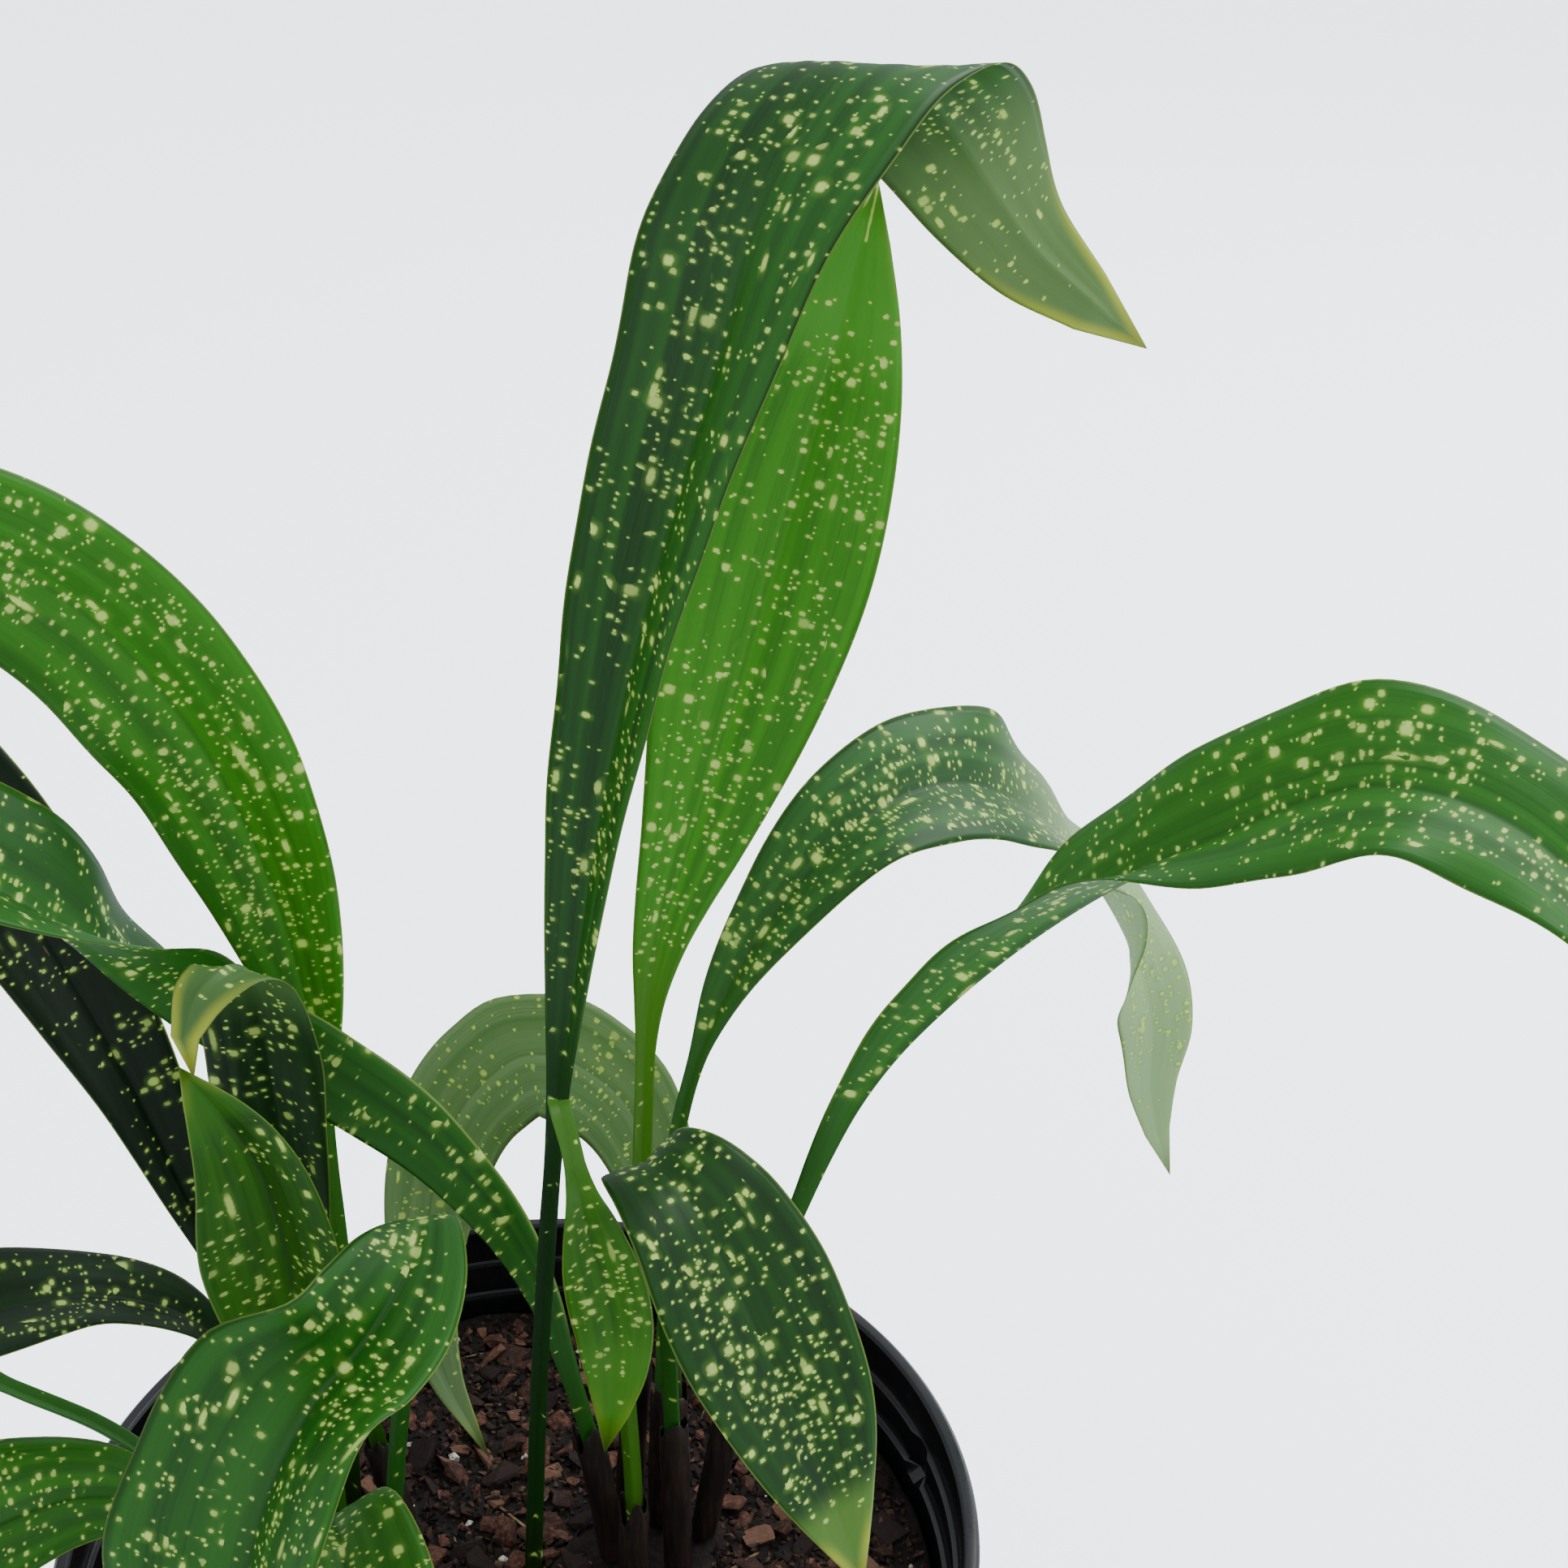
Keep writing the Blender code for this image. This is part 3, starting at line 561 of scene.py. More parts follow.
def lifted(half, along, blade, waviness, seed):
    """How far camber, pleats and waves lift each point of the blade, in millimetres."""
    phase = np.random.default_rng(seed).uniform(0, 2 * math.pi, 5)
    s, far = SHARES[None], abs(SHARES)[None]
    bulge = CAMBER * half[:, None] * (1 - (2 * far - 1) ** 2)
    pleats = PLEAT * np.cos(2 * math.pi * PLEATS * far + phase[0])
    pleats *= (1 - far**4) * np.clip(far * 5, 0, 1)
    left, right = [np.sin(along / slow + phase[k]) + QUICK_HEIGHT * np.sin(along / quick + phase[k + 1])
                   for slow, quick, k in zip(SLOW, QUICK, (1, 3))]
    wave = np.where(s < 0, left[:, None], right[:, None]) * far**3
    return (bulge + pleats + waviness * WAVE * half[:, None] * wave) * blade[:, None]


def thicknesses(half, rib, stalk):
    """Thickness above and below the surface: thin at the margins, a rib under the middle."""
    s, far = SHARES[None], abs(SHARES)[None]
    above = THIN * np.clip(half / FULL_AT, 0.2, 1)[:, None] * np.sqrt(np.clip(1 - far**6, 0, 1))
    blade_rib = above + (rib[:, None] - above) * np.exp(-((s * half[:, None]) / RIB_WIDTH) ** 2)
    round_back = rib[:, None] * np.clip(1 - far**2, 0, 1) ** 0.6
    below = blade_rib * (1 - stalk[:, None]) + round_back * stalk[:, None]
    inner = far < 0.999
    return above * inner, below * inner


def blade_loops(rows, along, waviness, seed):
    """Closed loops of points round the leaf, one a row, with each row's half width and stalk share."""
    left, right, top, ridge = rows[:, 0], rows[:, 4], rows[:, 2], rows[:, 6]
    up = unit(top - ridge)
    half = np.linalg.norm(right - left, axis=1) / 2
    blade = np.clip((half - STALK_HALF_WIDTH) / WIDENING, 0, 1)
    depth = np.linalg.norm(rows[:, 1] - rows[:, 7], axis=1)
    stalk = np.clip((depth - 2 * THIN) / STALK_THICKNESS, 0, 1)
    rib = np.linalg.norm(top - ridge, axis=1) - THIN
    far = abs(SHARES)[None, :, None]
    side = np.where(SHARES[None, :, None] < 0, left[:, None], right[:, None])
    sheet = (top - up * THIN)[:, None] * (1 - far) + side * far
    sheet = sheet + up[:, None] * lifted(half, along, blade, waviness, seed)[:, :, None]
    above, below = thicknesses(half, rib, stalk)
    upper = sheet + up[:, None] * above[:, :, None]
    under = sheet - up[:, None] * below[:, :, None]
    loops = np.concatenate([upper, under[:, 1:-1][:, ::-1]], axis=1)
    loops[0, :, 2] = BASE_HEIGHT
    return loops, half, stalk


print(2 * HALF_COLUMNS + 1, "columns across")

# %% [markdown]
# ## Closing the leaf
#
# Each loop is joined to the next, the tip is a fan to one point, and the flat base is a strip with a
# triangle at each end. The measures for the finish are stored on the corners. A map for baking lays
# the two faces of the leaf side by side, each as a straight strip.

# %% Faces, measures and the bake map
STRIP_MIDDLE, STRIP_HALF, MAP_EDGE = 0.25, 0.23, 0.03


def leaf_faces(rows, width):
    """Quads between the loops, a fan at the tip, and a strip over the base."""
    columns = len(SHARES)
    last = (rows - 1) * width
    sides = [(c, (c + 1) % width) for c in range(width)]
    faces = [(start + a, start + b, start + width + b, start + width + a)
             for start in range(0, last, width) for a, b in sides]
    faces += [(last + a, last + b, last + width) for a, b in sides]
    faces += [(0, 1, width - 1)]
    faces += [(c, c + 1, width - c - 1, width - c) for c in range(1, columns - 2)]
    faces += [(columns - 2, columns - 1, columns)]
    return faces


def give_vectors(item, name, values):
    """Store one vector for each corner point of a mesh, for its material to read."""
    layer = item.data.attributes.new(name, "FLOAT_VECTOR", "POINT")
    layer.data.foreach_set("vector", np.asarray(values, np.float32).ravel())


def bake_map(item, width, rows):
    """Lay the upper face on the left of the map and the under face on the right."""
    layer = item.data.uv_layers.new(name="OFBake")
    last = len(SHARES) - 1
    for face in item.data.polygons:
        corners = [divmod(v, width) for v in face.vertices]
        on_top = all(c <= last for r, c in corners if r < rows)
        places = []
        for row, column in corners:
            share = SHARES[column] if column <= last else SHARES[2 * last - column]
            u = STRIP_MIDDLE + STRIP_HALF * share + (0.0 if on_top else 0.5)
            places.append((u, MAP_EDGE + (1 - 2 * MAP_EDGE) * row / rows, row))
        body = [u for u, v, row in places if row < rows]
        for loop, (u, v, row) in zip(face.loop_indices, places):
            layer.data[loop].uv = (sum(body) / len(body) if row == rows else u, v)


def grow_leaf(node, material, waviness, seed):
    """Build the fine closed leaf from its solid, and give it its own measures."""
    rings, tip = leaf_rings(node)
    rows, along = fine_rows(rings)
    loops, half, stalk = blade_loops(rows, along, waviness, seed)
    count, width = loops.shape[:2]
    length = along[-1]
    leaf = mesh_object(node + "_fine", np.concatenate([loops.reshape(-1, 3), [tip]]),
                       leaf_faces(count, width), material)
    s = np.concatenate([SHARES, SHARES[1:-1][::-1]])[None].repeat(count, axis=0)
    wide, far = half[:, None].repeat(width, axis=1), along[:, None].repeat(width, axis=1)
    measures = np.stack([s * wide, far, (1 - abs(s)) * wide], axis=-1).reshape(-1, 3)
    shares = np.stack([s, far / length, stalk[:, None].repeat(width, axis=1)], axis=-1).reshape(-1, 3)
    give_vectors(leaf, "leaf_mm", np.concatenate([measures, [[0, length, 0]]]))
    give_vectors(leaf, "leaf_share", np.concatenate([shares, [[0, 1, 0]]]))
    bake_map(leaf, width, count)
    stand_in(leaf, node)
    print(f"{node}: {length:.0f} mm long, {2 * half.max():.0f} mm wide, {len(leaf.data.polygons)} faces")


print("each face of a leaf takes", 2 * STRIP_HALF, "of the map's width")

# %% [markdown]
# ## Seventeen leaves
#
# Old leaves are deep blue-green and young ones yellow-green. Each leaf's greens carry painted light and
# shade as well: those with light behind them are painted brighter, those in shade darker, and the one at
# the back is painted pale and dull, partly its own colour and partly painted haze of the light from
# behind. Tips age first: they turn pale or yellow, along the margins most. The pale tips of the tall
# and mid_right leaves are partly painted haze as well.

# %% Grow all the leaves
# Each leaf's greens carry painted light and shade: brighter where light shines through, darker in shade.
LEAF_LOOKS = {
    # deep, light, stalk, tip, where the tip's colour starts, yellowing, speckle, glow, painted shade on
    # one half, waviness
    # Tall: painted shade on its first half, where the fold shades it, and its pale tip partly painted haze.
    "tall": ("#0F3610", "#2A6C1C", "#0F3012", "#7A9C58", 0.84, 1.0, 0.9, "#66A024", -0.32, 0.7),
    "bright": ("#2A7010", "#459818", "#55821C", "#58A834", 0.9, 0.1, 1.1, "#84C41C", 0, 0.5),
    # Mid_right: its pale tip is partly painted haze of the light from behind.
    "mid_right": ("#13441A", "#286626", "#2F662A", "#C4E4A8", 0.60, 0.1, 1.4, "#8ABC4A", 0, 1.8),
    "far_right": ("#185614", "#2F7820", "#235A1C", "#3C8030", 0.93, 0.2, 1.1, "#84BC30", 0, 2.0),
    "front_droop": ("#0E320C", "#1E5010", "#2A6420", "#6C9A3A", 0.93, 0.8, 1.3, "#6AA22A", 0, 1.0),
    "short": ("#286808", "#3E800C", "#41701A", "#4C9014", 0.9, 0.2, 1.2, "#90C81E", 0, 0.8),
    "upper_left": ("#1B5A0E", "#378618", "#266012", "#378618", 0.93, 0.2, 1.3, "#86C424", 0, 1.4),
    "long_left": ("#164E10", "#266C18", "#245E1A", "#266C18", 0.93, 0.2, 1.0, "#74B028", 0, 0.9),
    "dark_left": ("#041405", "#0A2208", "#102E10", "#0D2A0C", 0.93, 0.2, 0.8, "#3C6816", 0, 0.7),
    "curled_left": ("#0C240E", "#153812", "#1C4414", "#5C8844", 0.78, 0.9, 0.8, "#588C28", 0, 1.0),
    # Folded_left: painted shade on its second half, where the fold shades it.
    "folded_left": ("#22560C", "#3A7C12", "#347018", "#3A7C12", 0.93, 0.2, 0.9, "#80BC1C", 0.5, 0.8),
    "front_left": ("#18500F", "#2C701A", "#24601C", "#2C701A", 0.93, 0.2, 1.4, "#70AE28", 0, 1.3),
    "low_left": ("#0A280A", "#153C10", "#143614", "#11300F", 0.93, 0.2, 1.1, "#427018", 0, 0.7),
    "bottom_left": ("#225E14", "#36801E", "#2E6C1C", "#36801E", 0.93, 0.2, 1.3, "#80BC2C", 0, 1.0),
    "outer_left": ("#1C5614", "#2E6E24", "#346E2A", "#2E6E24", 0.93, 0.2, 1.0, "#78B430", 0, 0.9),
    "under_left": ("#266412", "#3E8220", "#50902A", "#3E8220", 0.93, 0.2, 1.1, "#88C822", 0, 0.8),
    # Back: pale and greyish, partly its own dull colour and partly painted haze of the light from behind.
    "back": ("#688F56", "#84A66E", "#5A7C48", "#7A9A66", 0.93, 0.2, 1.0, "#98B870", 0, 1.6),
}
for number, (name, (*paint, waviness)) in enumerate(LEAF_LOOKS.items()):
    cuticle = leaf_material("leaf_cuticle_" + name, *paint, seed=number + 1)
    grow_leaf("leaf_" + name, cuticle, waviness, number + 11)

# %% [markdown]
# ## Dry sheaths and rhizomes
#
# Dry brown sheaths that wrapped the buds stand round some stalks, thin, papery and lined with fibres.
# The rhizomes that the stalks grow from are knobbly, dull and caked with mix. Both start from a copy
# of their solid, made finer with a subdivision surface and then roughened corner by corner, because a
# moved corner shows in the outline and a bump doesn't.

# %% Papery and woody materials
def fibre_material(name, dark, light, fibre_mm, roughness, bump_mm):
    """Brown plant fibre: fibre_mm is the size of a fibre along X, Y and Z."""
    material, shader, node = new_material(name, Roughness=roughness, IOR=1.45)
    place = node("ShaderNodeTexCoord").outputs["Object"]
    stretched = node(VECTOR, {0: place, 1: [repeats(size) for size in fibre_mm]}, **TIMES)
    fibres = node(NOISE, {"Vector": stretched, "Scale": 1.0, "Detail": 5.0, "Roughness": 0.65})
    patches = node(NOISE, {"Vector": place, "Scale": repeats(7.0), "Detail": 3.0})
    colour = tint(node, linear(dark), light, fibres, 0.36, 0.74)
    colour = tint(node, colour, dark, patches, 0.42, 0.70, 0.0, 0.7)
    bump = node("ShaderNodeBump", {"Height": fibres, "Strength": 0.7, "Distance": bump_mm * MM})
    wire(shader, Base_Color=colour, Normal=bump)
    return material


sheath_material = fibre_material("dry_papery_sheath", "#120B08", "#352419", (1.4, 1.4, 17), 0.6, 0.12)
rhizome_material = fibre_material("dry_rhizome_skin", "#0C0706", "#2C1D16", (2.4, 2.4, 2.4), 0.95, 0.9)
print("fibre materials ready")

# %% Refine the sheaths and rhizomes
TEAR_MM, TEAR_MORE = 2.6, 0.35  # grain of the torn edge, and how much more is torn than whole
INWARD = 0.2  # share of the roughness by which the skin moves inwards


def refined(node, material, levels, amount_mm, grain_mm, squash=(1, 1, 1), torn_mm=0.0):
    """A finer copy of a solid, with noise of a grain size moving each corner along its normal.

    A torn piece has its top edge lowered here and there.
    """
    builder = joined(node)
    bmesh.ops.join_triangles(builder, faces=builder.faces, angle_face_threshold=0.7,
                             angle_shape_threshold=1.2)
    mesh = bpy.data.meshes.new(node + "_draft")
    builder.to_mesh(mesh)
    builder.free()
    item = in_scene(node + "_fine", mesh)
    smooth = item.modifiers.new("finer", "SUBSURF")
    smooth.levels = smooth.render_levels = levels
    fine = settle(item)
    heights = [vertex.co.z for vertex in fine.vertices]
    low, tall = min(heights), max(heights) - min(heights)
    for vertex in fine.vertices:
        place = Vector([c * k for c, k in zip(vertex.co, squash)]) / (grain_mm * MM)
        vertex.co += vertex.normal * (noise.noise(place) - INWARD) * amount_mm * MM
        across = Vector((vertex.co.x, vertex.co.y, 0)) / (TEAR_MM * MM)
        tear = max(noise.noise(across) + TEAR_MORE, 0.0)
        vertex.co.z -= tear * torn_mm * MM * max((vertex.co.z - low) / tall, 0.0) ** 4
    fine.shade_smooth()
    fine.materials.clear()
    fine.materials.append(material)
    stand_in(item, node)


SHEATH_SQUASH = (1.0, 1.0, 0.18)  # creases run lengthwise
for node in sorted(slot_of):
    if node.startswith("sheath_"):
        refined(node, sheath_material, 2, 0.35, 1.6, SHEATH_SQUASH, torn_mm=9.0)
    if node.startswith("rhizome_"):
        refined(node, rhizome_material, 3, 1.8, 3.0)
print("sheaths and rhizomes refined")

# %% [markdown]
# ## The nursery pot
#
# Black polypropylene, injection moulded: thin, tapered, with a stiff band under the lip and two small
# ledges inside that let stacked pots come apart, cut through by four notches. It is spun from its
# profile with far more sides than the solid has, then bevelled, because moulded edges are never
# sharp. The skin is satin, with flow marks, scuffs and a little dried-on dust.

# %% Spin the pot
POT_SIDES = 192
NOTCH_ANGLES = (20, 110, 200, 290)  # degrees
NOTCH_HALF_WIDTH = 1.6  # degrees
NOTCH_RADIUS = 109.2
POT_PROFILE = (
    (0, 0), (60, 0), (88.5, 0), (90, 1.5), (96, 62), (102, 122), (108, 182), (110.6, 184), (111.4, 211),
    (114, 211.8), (114, 215), (113, 216), (110.8, 216), (110, 215.2), (109.6, 204.7), (109.1, 204),
    (107.9, 204), (107.7, 194.7), (107.2, 194), (106, 194), (105.8, 192), (100, 129), (94, 65),
    (88.3, 3.5), (86.7, 2), (60, 2), (0, 2))
LEDGE_ROWS = range(16, 20)  # profile points that a notch pushes outwards


def turned(profile, sides, rows_of_points):
    """Faces between the rows of a turned body. A row on the axis is one point."""
    rows, start = [], 0
    for (radius, _), count in zip(profile, rows_of_points):
        rows.append([start] * sides if radius == 0 else list(range(start, start + sides)))
        start += count
    return [tuple(dict.fromkeys((a[i], a[(i + 1) % sides], b[(i + 1) % sides], b[i])))
            for a, b in zip(rows, rows[1:]) for i in range(sides)]


def spun(profile, sides, notched_rows=()):
    """Corner points and faces of a profile spun about the vertical axis, with notches in some rows."""
    angles = np.arange(sides) * 360 / sides
    off_notch = np.min([abs((angles - a + 180) % 360 - 180) for a in NOTCH_ANGLES], axis=0)
    points, counts = [], []
    for k, (radius, height) in enumerate(profile):
        reach = np.full(sides, float(radius))
        if k in notched_rows:
            reach[off_notch < NOTCH_HALF_WIDTH] = NOTCH_RADIUS
        row = np.stack([reach * np.cos(np.radians(angles)), reach * np.sin(np.radians(angles)),
                        np.full(sides, float(height))], axis=1)
        counts.append(sides if radius else 1)
        points.extend(row[:counts[-1]])
    return points, turned(profile, sides, counts)


print("pot profile points:", len(POT_PROFILE))

# %% The plastic
FLOW_MM = (11, 11, 170)  # size of a flow mark, drawn out down the wall


def moulded_plastic():
    """Black polypropylene with flow marks, and rougher and paler where dust has dried on."""
    material, shader, node = new_material("moulded_black_polypropylene", IOR=1.49)
    place = node("ShaderNodeTexCoord").outputs["Object"]
    dust = node(NOISE, {"Vector": place, "Scale": repeats(17), "Detail": 6.0, "Roughness": 0.7})
    drawn_down = node(VECTOR, {0: place, 1: [repeats(size) for size in FLOW_MM]}, **TIMES)
    flow = node(NOISE, {"Vector": drawn_down, "Scale": 1.0, "Detail": 3.0})
    skin = node(NOISE, {"Vector": place, "Scale": repeats(1.1), "Detail": 2.0})
    colour = tint(node, linear("#0B0E11"), "#34383A", dust, 0.55, 0.80, 0.0, 0.30)
    rough = node(RANGE, {0: dust, 1: 0.3, 2: 0.75, 3: 0.20, 4: 0.42})
    height = node(MATH, {0: skin, 1: 0.4, 2: flow}, **STRETCH)
    bump = node("ShaderNodeBump", {"Height": height, "Strength": 0.22, "Distance": 0.2 * MM})
    wire(shader, Base_Color=colour, Roughness=rough, Normal=bump)
    return material


pot_plastic = moulded_plastic()
print("made", pot_plastic.name)

# %% [markdown]
# The drain holes are round pins cut out of the floor. The bevel goes before the cut, so that the
# holes stay as sharp as punched ones.

# %% Cut the drain holes and finish the pot
DRAIN_HOLES, DRAIN_RADIUS, DRAIN_REACH = 8, 6.0, 76.0
PIN = ((0, -6), (DRAIN_RADIUS, -6), (DRAIN_RADIUS, 8), (0, 8))

pot = mesh_object("nursery_pot_fine", *spun(POT_PROFILE, POT_SIDES, LEDGE_ROWS), pot_plastic)
pin_points, pin_faces = spun(PIN, 32)
drain_points, drain_faces = [], []
for hole in range(DRAIN_HOLES):
    angle = 2 * math.pi * (hole + 0.5) / DRAIN_HOLES
    drain_faces += [tuple(k + len(drain_points) for k in face) for face in pin_faces]
    shift = (DRAIN_REACH * math.cos(angle), DRAIN_REACH * math.sin(angle), 0)
    drain_points += [p + shift for p in pin_points]
drains = mesh_object("drains", drain_points, drain_faces, pot_plastic)
soft_edges = pot.modifiers.new("soft_edges", "BEVEL")
soft_edges.width, soft_edges.segments, soft_edges.limit_method = 0.35 * MM, 2, "ANGLE"
soft_edges.angle_limit = math.radians(22)
cut = pot.modifiers.new("drains", "BOOLEAN")
cut.operation, cut.solver, cut.object = "DIFFERENCE", "EXACT", drains
pot_mesh = settle(pot)
bpy.data.objects.remove(drains)
pot_mesh.shade_smooth()
pot_mesh.set_sharp_from_angle(angle=math.radians(40))
stand_in(pot, "nursery_pot")
print("pot:", len(pot_mesh.polygons), "faces")

# %% [markdown]
# ## The bark mix
#
# The mix is dark, damp bark fines with bigger chips of reddish bark on top, a few white bits of
# perlite and some straw. The bed is a turned body whose top is lumpy. Geometry Nodes scatter the loose
# bits on it: one tree serves every kind, with its own spacing, sizes and seed for each. A number on
# the bed says where there is room, so that no chip lands in a stalk.

# %% Bark
DAMP_BARK, DRY_BARK = "#120C09", "#86644E"


def bark_material(name, dark, light, toned=False):
    """Damp bark: dull, fibrous, and darker in its pores. Toned pieces differ from each other."""
    material, shader, node = new_material(name, IOR=1.4)
    place = node("ShaderNodeTexCoord").outputs["Object"]
    grain = node(NOISE, {"Vector": place, "Scale": repeats(1.6), "Detail": 5.0, "Roughness": 0.75})
    colour = tint(node, linear(dark), light, grain, 0.40, 0.74)
    if toned:
        tone = node("ShaderNodeAttribute", attribute_name="tone").outputs["Fac"]
        colour = tint(node, colour, DAMP_BARK, tone, 0.1, 0.75, 0.88, 0.0)
        colour = tint(node, colour, DRY_BARK, tone, 0.84, 1.0, 0.0, 0.5)
    rough = node(RANGE, {0: grain, 1: 0.3, 2: 0.7, 3: 0.65, 4: 0.98})
    bump = node("ShaderNodeBump", {"Height": grain, "Strength": 0.9, "Distance": 0.6 * MM})
    wire(shader, Base_Color=colour, Roughness=rough, Normal=bump)
    return material


print("bark material ready")

# %% The bed of mix
SOIL_TOP = 188.0
BED_RADIUS, BED_RINGS, BED_SIDES = 104.0, 80, 240
LUMPS = ((0.8, 14.0), (0.6, 6.0), (0.5, 2.8))  # height and cell of each layer, in millimetres
DICE = 128  # random heights along each side of the grid, before they repeat
BED_UNDERSIDE = ((103.6, 180), (93, 66), (87.4, 6), (85.5, 2.4), (0, 2.4))


def value_noise(x, y, cell, seed):
    """Smooth random heights from -1 to 1 on a grid of cells, at points x and y."""
    table = np.random.default_rng(seed).uniform(-1, 1, (DICE, DICE))
    i, j = np.floor(x / cell).astype(int), np.floor(y / cell).astype(int)
    fx, fy = x / cell - i, y / cell - j
    fx, fy = fx * fx * (3 - 2 * fx), fy * fy * (3 - 2 * fy)
    corner = [[table[(i + a) % DICE, (j + b) % DICE] for b in (0, 1)] for a in (0, 1)]
    low = corner[0][0] * (1 - fx) + corner[1][0] * fx
    high = corner[0][1] * (1 - fx) + corner[1][1] * fx
    return low * (1 - fy) + high * fy


bed_profile = [(BED_RADIUS * k / BED_RINGS, SOIL_TOP) for k in range(BED_RINGS + 1)] + list(BED_UNDERSIDE)
bed_points, bed_faces = spun(bed_profile, BED_SIDES)
bed_points = np.array(bed_points)
top_count = 1 + BED_RINGS * BED_SIDES
top_x, top_y = bed_points[:top_count, :2].T
for layer, (height, cell) in enumerate(LUMPS):
    bed_points[:top_count, 2] += height * value_noise(top_x, top_y, cell, 3 + layer)
fines = bark_material("damp_bark_fines", "#090605", "#2E1F18")
bed = mesh_object("potting_mix_bed", bed_points, bed_faces, fines)
stand_in(bed, "potting_mix")
print("bed:", len(bed_faces), "faces")

# %% Shapes of the loose bits
FULLNESS = 0.62  # 1 would leave points inside the box, 0 would push them all out to its walls
RAISED = 0.3  # height of a bit's middle above the bed, as a share of its thickness


def shard(name, size, points, seed):
    """A sharp-edged splinter: the hull of random points in a flattened box of a size in millimetres."""
    generator = np.random.default_rng(seed)
    places = generator.uniform(-0.5, 0.5, (points, 3))
    places /= np.maximum(np.abs(places).max(axis=1, keepdims=True) * 2, FULLNESS)
    builder = bmesh.new()
    for place in places * size:
        builder.verts.new(Vector(place + (0, 0, size[2] * RAISED)) * MM)
    hull = bmesh.ops.convex_hull(builder, input=builder.verts, use_existing_faces=False)
    spare = {v for v in hull["geom_interior"] + hull["geom_unused"] if isinstance(v, bmesh.types.BMVert)}
    bmesh.ops.delete(builder, geom=list(spare), context="VERTS")
    bmesh.ops.recalc_face_normals(builder, faces=builder.faces)
    mesh = bpy.data.meshes.new(name)
    builder.to_mesh(mesh)
    builder.free()
    return bpy.data.objects.new(name, mesh)


def bit_collection(name, sizes, points):
    """A collection of a few different shards for the tree to choose from."""
    collection = bpy.data.collections.new(name)
    for k, size in enumerate(sizes):
        collection.objects.link(shard(f"{name}_{k}", np.array(size), points, 40 + k))
    return collection


CHIPS = bit_collection("chips", ((11, 7, 3.2), (9, 6, 2.6), (12, 5, 3), (8, 7, 3.6), (10, 8, 2.4)), 16)
CRUMBS = bit_collection("crumbs", ((3.4, 2.4, 1.6), (2.6, 2.0, 1.5), (4.4, 2.2, 1.4), (3, 3, 1.8)), 9)
PERLITE = bit_collection("perlite", ((3.2, 2.8, 2.4), (2.4, 2.2, 2.0), (4.2, 3.4, 2.6)), 14)
STRAWS = bit_collection("straws", ((17, 1.1, 0.6), (11, 0.9, 0.5), (23, 1.0, 0.6)), 10)
print("four kinds of loose bits")

# %% [markdown]
# The tree scatters points that keep their distance, puts a random bit on each, turns and sizes it,
# gives it a tone of its own, and makes it all real. Each run has its own fixed seed.

# %% The scattering tree
RANDOM = "FunctionNodeRandomValue"
TREE_INPUTS = {"Surface": "Geometry", "Bits": "Collection", "Spacing": "Float", "Density": "Float",
               "Smallest": "Float", "Largest": "Float", "Tilt": "Float", "Seed": "Int",
               "Finish": "Material"}


def scatter_tree():
    """Points on a surface, a random bit on each, turned and sized at random, then made real."""
    tree = bpy.data.node_groups.new("scatter_bits", "GeometryNodeTree")
    for name, kind in TREE_INPUTS.items():
        tree.interface.new_socket(name, in_out="INPUT", socket_type="NodeSocket" + kind)
    tree.interface.new_socket("Bits", in_out="OUTPUT", socket_type="NodeSocketGeometry")
    node = partial(add, tree)
    given = node("NodeGroupInput").outputs
    room = node("GeometryNodeInputNamedAttribute", {"Name": "room"}, data_type="FLOAT")
    scattered = node("GeometryNodeDistributePointsOnFaces",
                     {"Mesh": given["Surface"], "Distance Min": given["Spacing"],
                      "Density Max": given["Density"], "Density Factor": room, "Seed": given["Seed"]},
                     distribute_method="POISSON")
    picked = node("GeometryNodeCollectionInfo",
                  {"Collection": given["Bits"], "Separate Children": True, "Reset Children": True})
    turn = node(RANDOM, {0: (0, 0, 0), 1: (0, 0, 2 * math.pi), "Seed": given["Seed"]},
                data_type="FLOAT_VECTOR")
    lean = node(RANDOM, {0: (-1, -1, 0), 1: (1, 1, 0), "Seed": given["Seed"]}, data_type="FLOAT_VECTOR")
    leaning = node(VECTOR, {0: lean, "Scale": given["Tilt"]}, operation="SCALE")
    pose = node(VECTOR, {0: turn, 1: leaning}, **PLUS)
    size = node(RANDOM, {0: given["Smallest"], 1: given["Largest"], "Seed": given["Seed"]},
                data_type="FLOAT")
    placed = node("GeometryNodeInstanceOnPoints",
                  {"Points": scattered, "Instance": picked, "Pick Instance": True, "Rotation": pose,
                   "Scale": size})
    tone = node(RANDOM, {"Seed": 9}, data_type="FLOAT")
    named = node("GeometryNodeStoreNamedAttribute", {"Geometry": placed, "Name": "tone", "Value": tone},
                 data_type="FLOAT", domain="INSTANCE")
    real = node("GeometryNodeRealizeInstances", {"Geometry": named})
    finished = node("GeometryNodeSetMaterial", {"Geometry": real, "Material": given["Finish"]})
    node("NodeGroupOutput", {"Bits": finished})
    return tree


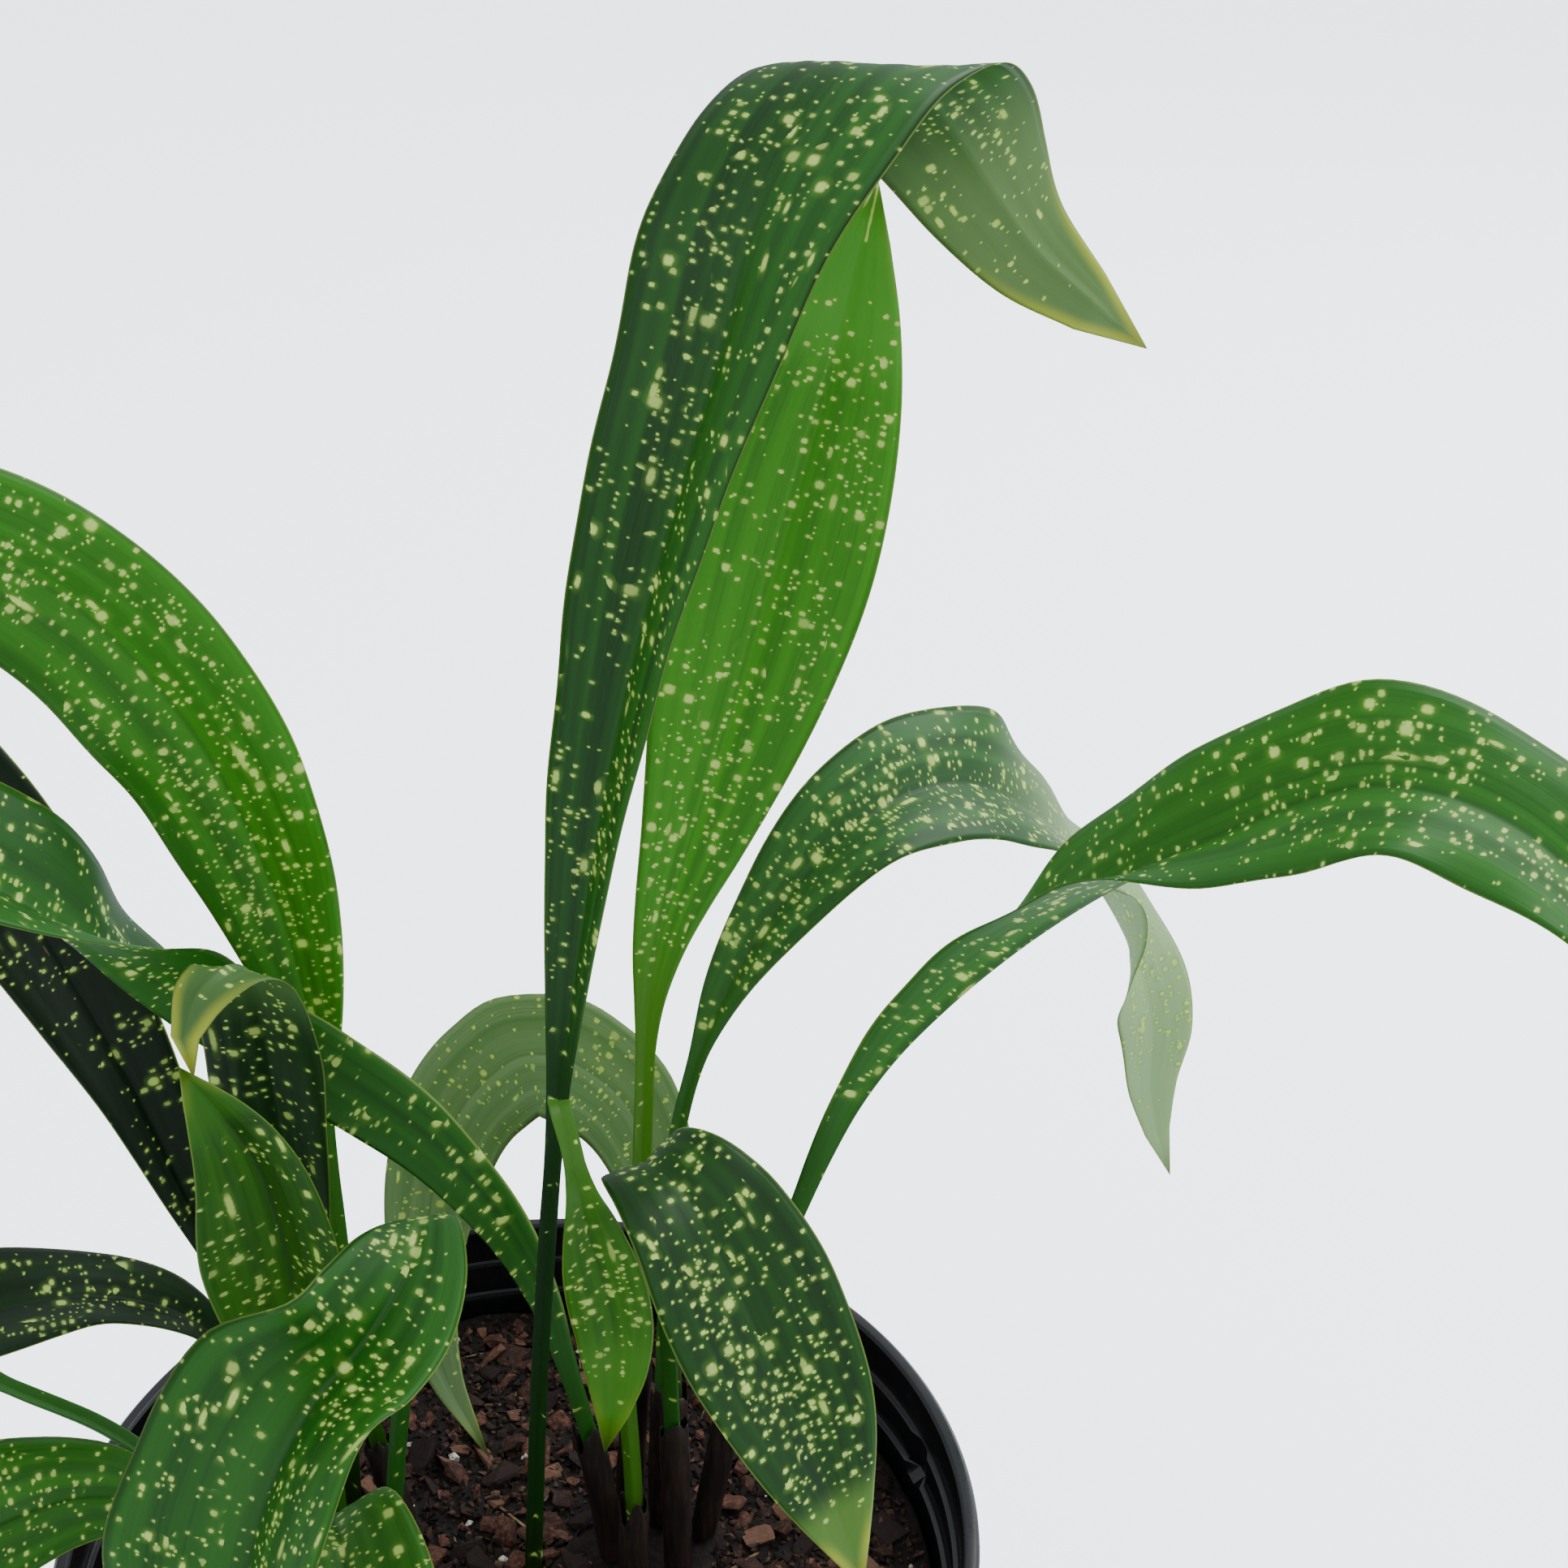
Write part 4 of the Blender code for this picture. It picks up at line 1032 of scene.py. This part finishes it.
def scatter(name, tree, room, **inputs):
    """Run the tree on the top of the bed and keep the result as a plain mesh."""
    top = bpy.data.meshes.new(name + "_surface")
    top.from_pydata([tuple(p) for p in bed_points[:top_count] * MM], [],
                    [face for face in bed_faces if max(face) < top_count])
    top.attributes.new("room", "FLOAT", "POINT").data.foreach_set("value", room.astype(np.float32))
    item = in_scene(name, top)
    nodes = item.modifiers.new("scatter", "NODES")
    nodes.node_group = tree
    identifiers = {s.name: s.identifier for s in tree.interface.items_tree if s.in_out == "INPUT"}
    for key, value in inputs.items():
        nodes[identifiers[key]] = value
    made = settle(item)
    stand_in(item)
    print(f"{name}: {len(made.polygons)} faces")


tree = scatter_tree()
print("tree inputs:", list(TREE_INPUTS))

# %% Room round the stalks and the wall
STALK_ROOM, WALL_ROOM = 4.0, 0.5  # millimetres
stalk_places = [leaf_rings("leaf_" + name)[0][0].mean(axis=0)[:2] for name in LEAF_LOOKS]
to_stalk = np.min([np.hypot(top_x - x, top_y - y) for x, y in stalk_places], axis=0)
to_wall = BED_RADIUS - np.hypot(top_x, top_y)


def room_for(reach):
    """1 where a bit of a reach in millimetres clears the stalks and the wall, else 0."""
    return ((to_stalk > reach + STALK_ROOM) & (to_wall > reach + WALL_ROOM)).astype(float)


print("nearest place to a stalk (mm):", round(float(to_stalk.min()), 1))

# %% Scatter the bits
chip_bark = bark_material("reddish_bark_chip", "#3A221A", "#8A5A46", True)
crumb_bark = bark_material("dark_bark_crumb", "#20150F", "#70503F", True)
scatter("bark_chips", tree, room_for(4.5), Bits=CHIPS, Spacing=5.8 * MM, Density=90000.0, Smallest=0.3,
        Largest=1.15, Tilt=0.55, Seed=5, Finish=chip_bark)
scatter("bark_crumbs", tree, room_for(1.2), Bits=CRUMBS, Spacing=1.75 * MM, Density=900000.0, Smallest=0.45,
        Largest=1.15, Tilt=1.2, Seed=6, Finish=crumb_bark)

# %% [markdown]
# Perlite is volcanic glass puffed by heat: white, rough and full of grey pores, so it is quite dull.
# Straw is dry, split lengthwise and yellow-brown.

# %% Perlite and straw
perlite, shader, node = new_material("puffed_perlite", Roughness=0.9)
place = node("ShaderNodeTexCoord").outputs["Object"]
pores = node(NOISE, {"Vector": place, "Scale": repeats(1.1), "Detail": 3.0})
wire(shader, Base_Color=tint(node, linear("#9C9488"), "#E2DCD0", pores, 0.35, 0.6))
scatter("perlite_bits", tree, room_for(2.0), Bits=PERLITE, Spacing=13 * MM, Density=4600.0, Smallest=0.3,
        Largest=0.75, Tilt=1.0, Seed=8, Finish=perlite)
straw = fibre_material("dry_straw", "#5E4630", "#A58A62", (3.3, 3.3, 3.3), 0.8, 0.1)
scatter("straw_slivers", tree, room_for(9.0), Bits=STRAWS, Spacing=15 * MM, Density=3600.0, Smallest=0.5,
        Largest=1.1, Tilt=0.12, Seed=12, Finish=straw)
for collection in (CHIPS, CRUMBS, PERLITE, STRAWS):
    for item in list(collection.objects):
        bpy.data.objects.remove(item)
    bpy.data.collections.remove(collection)
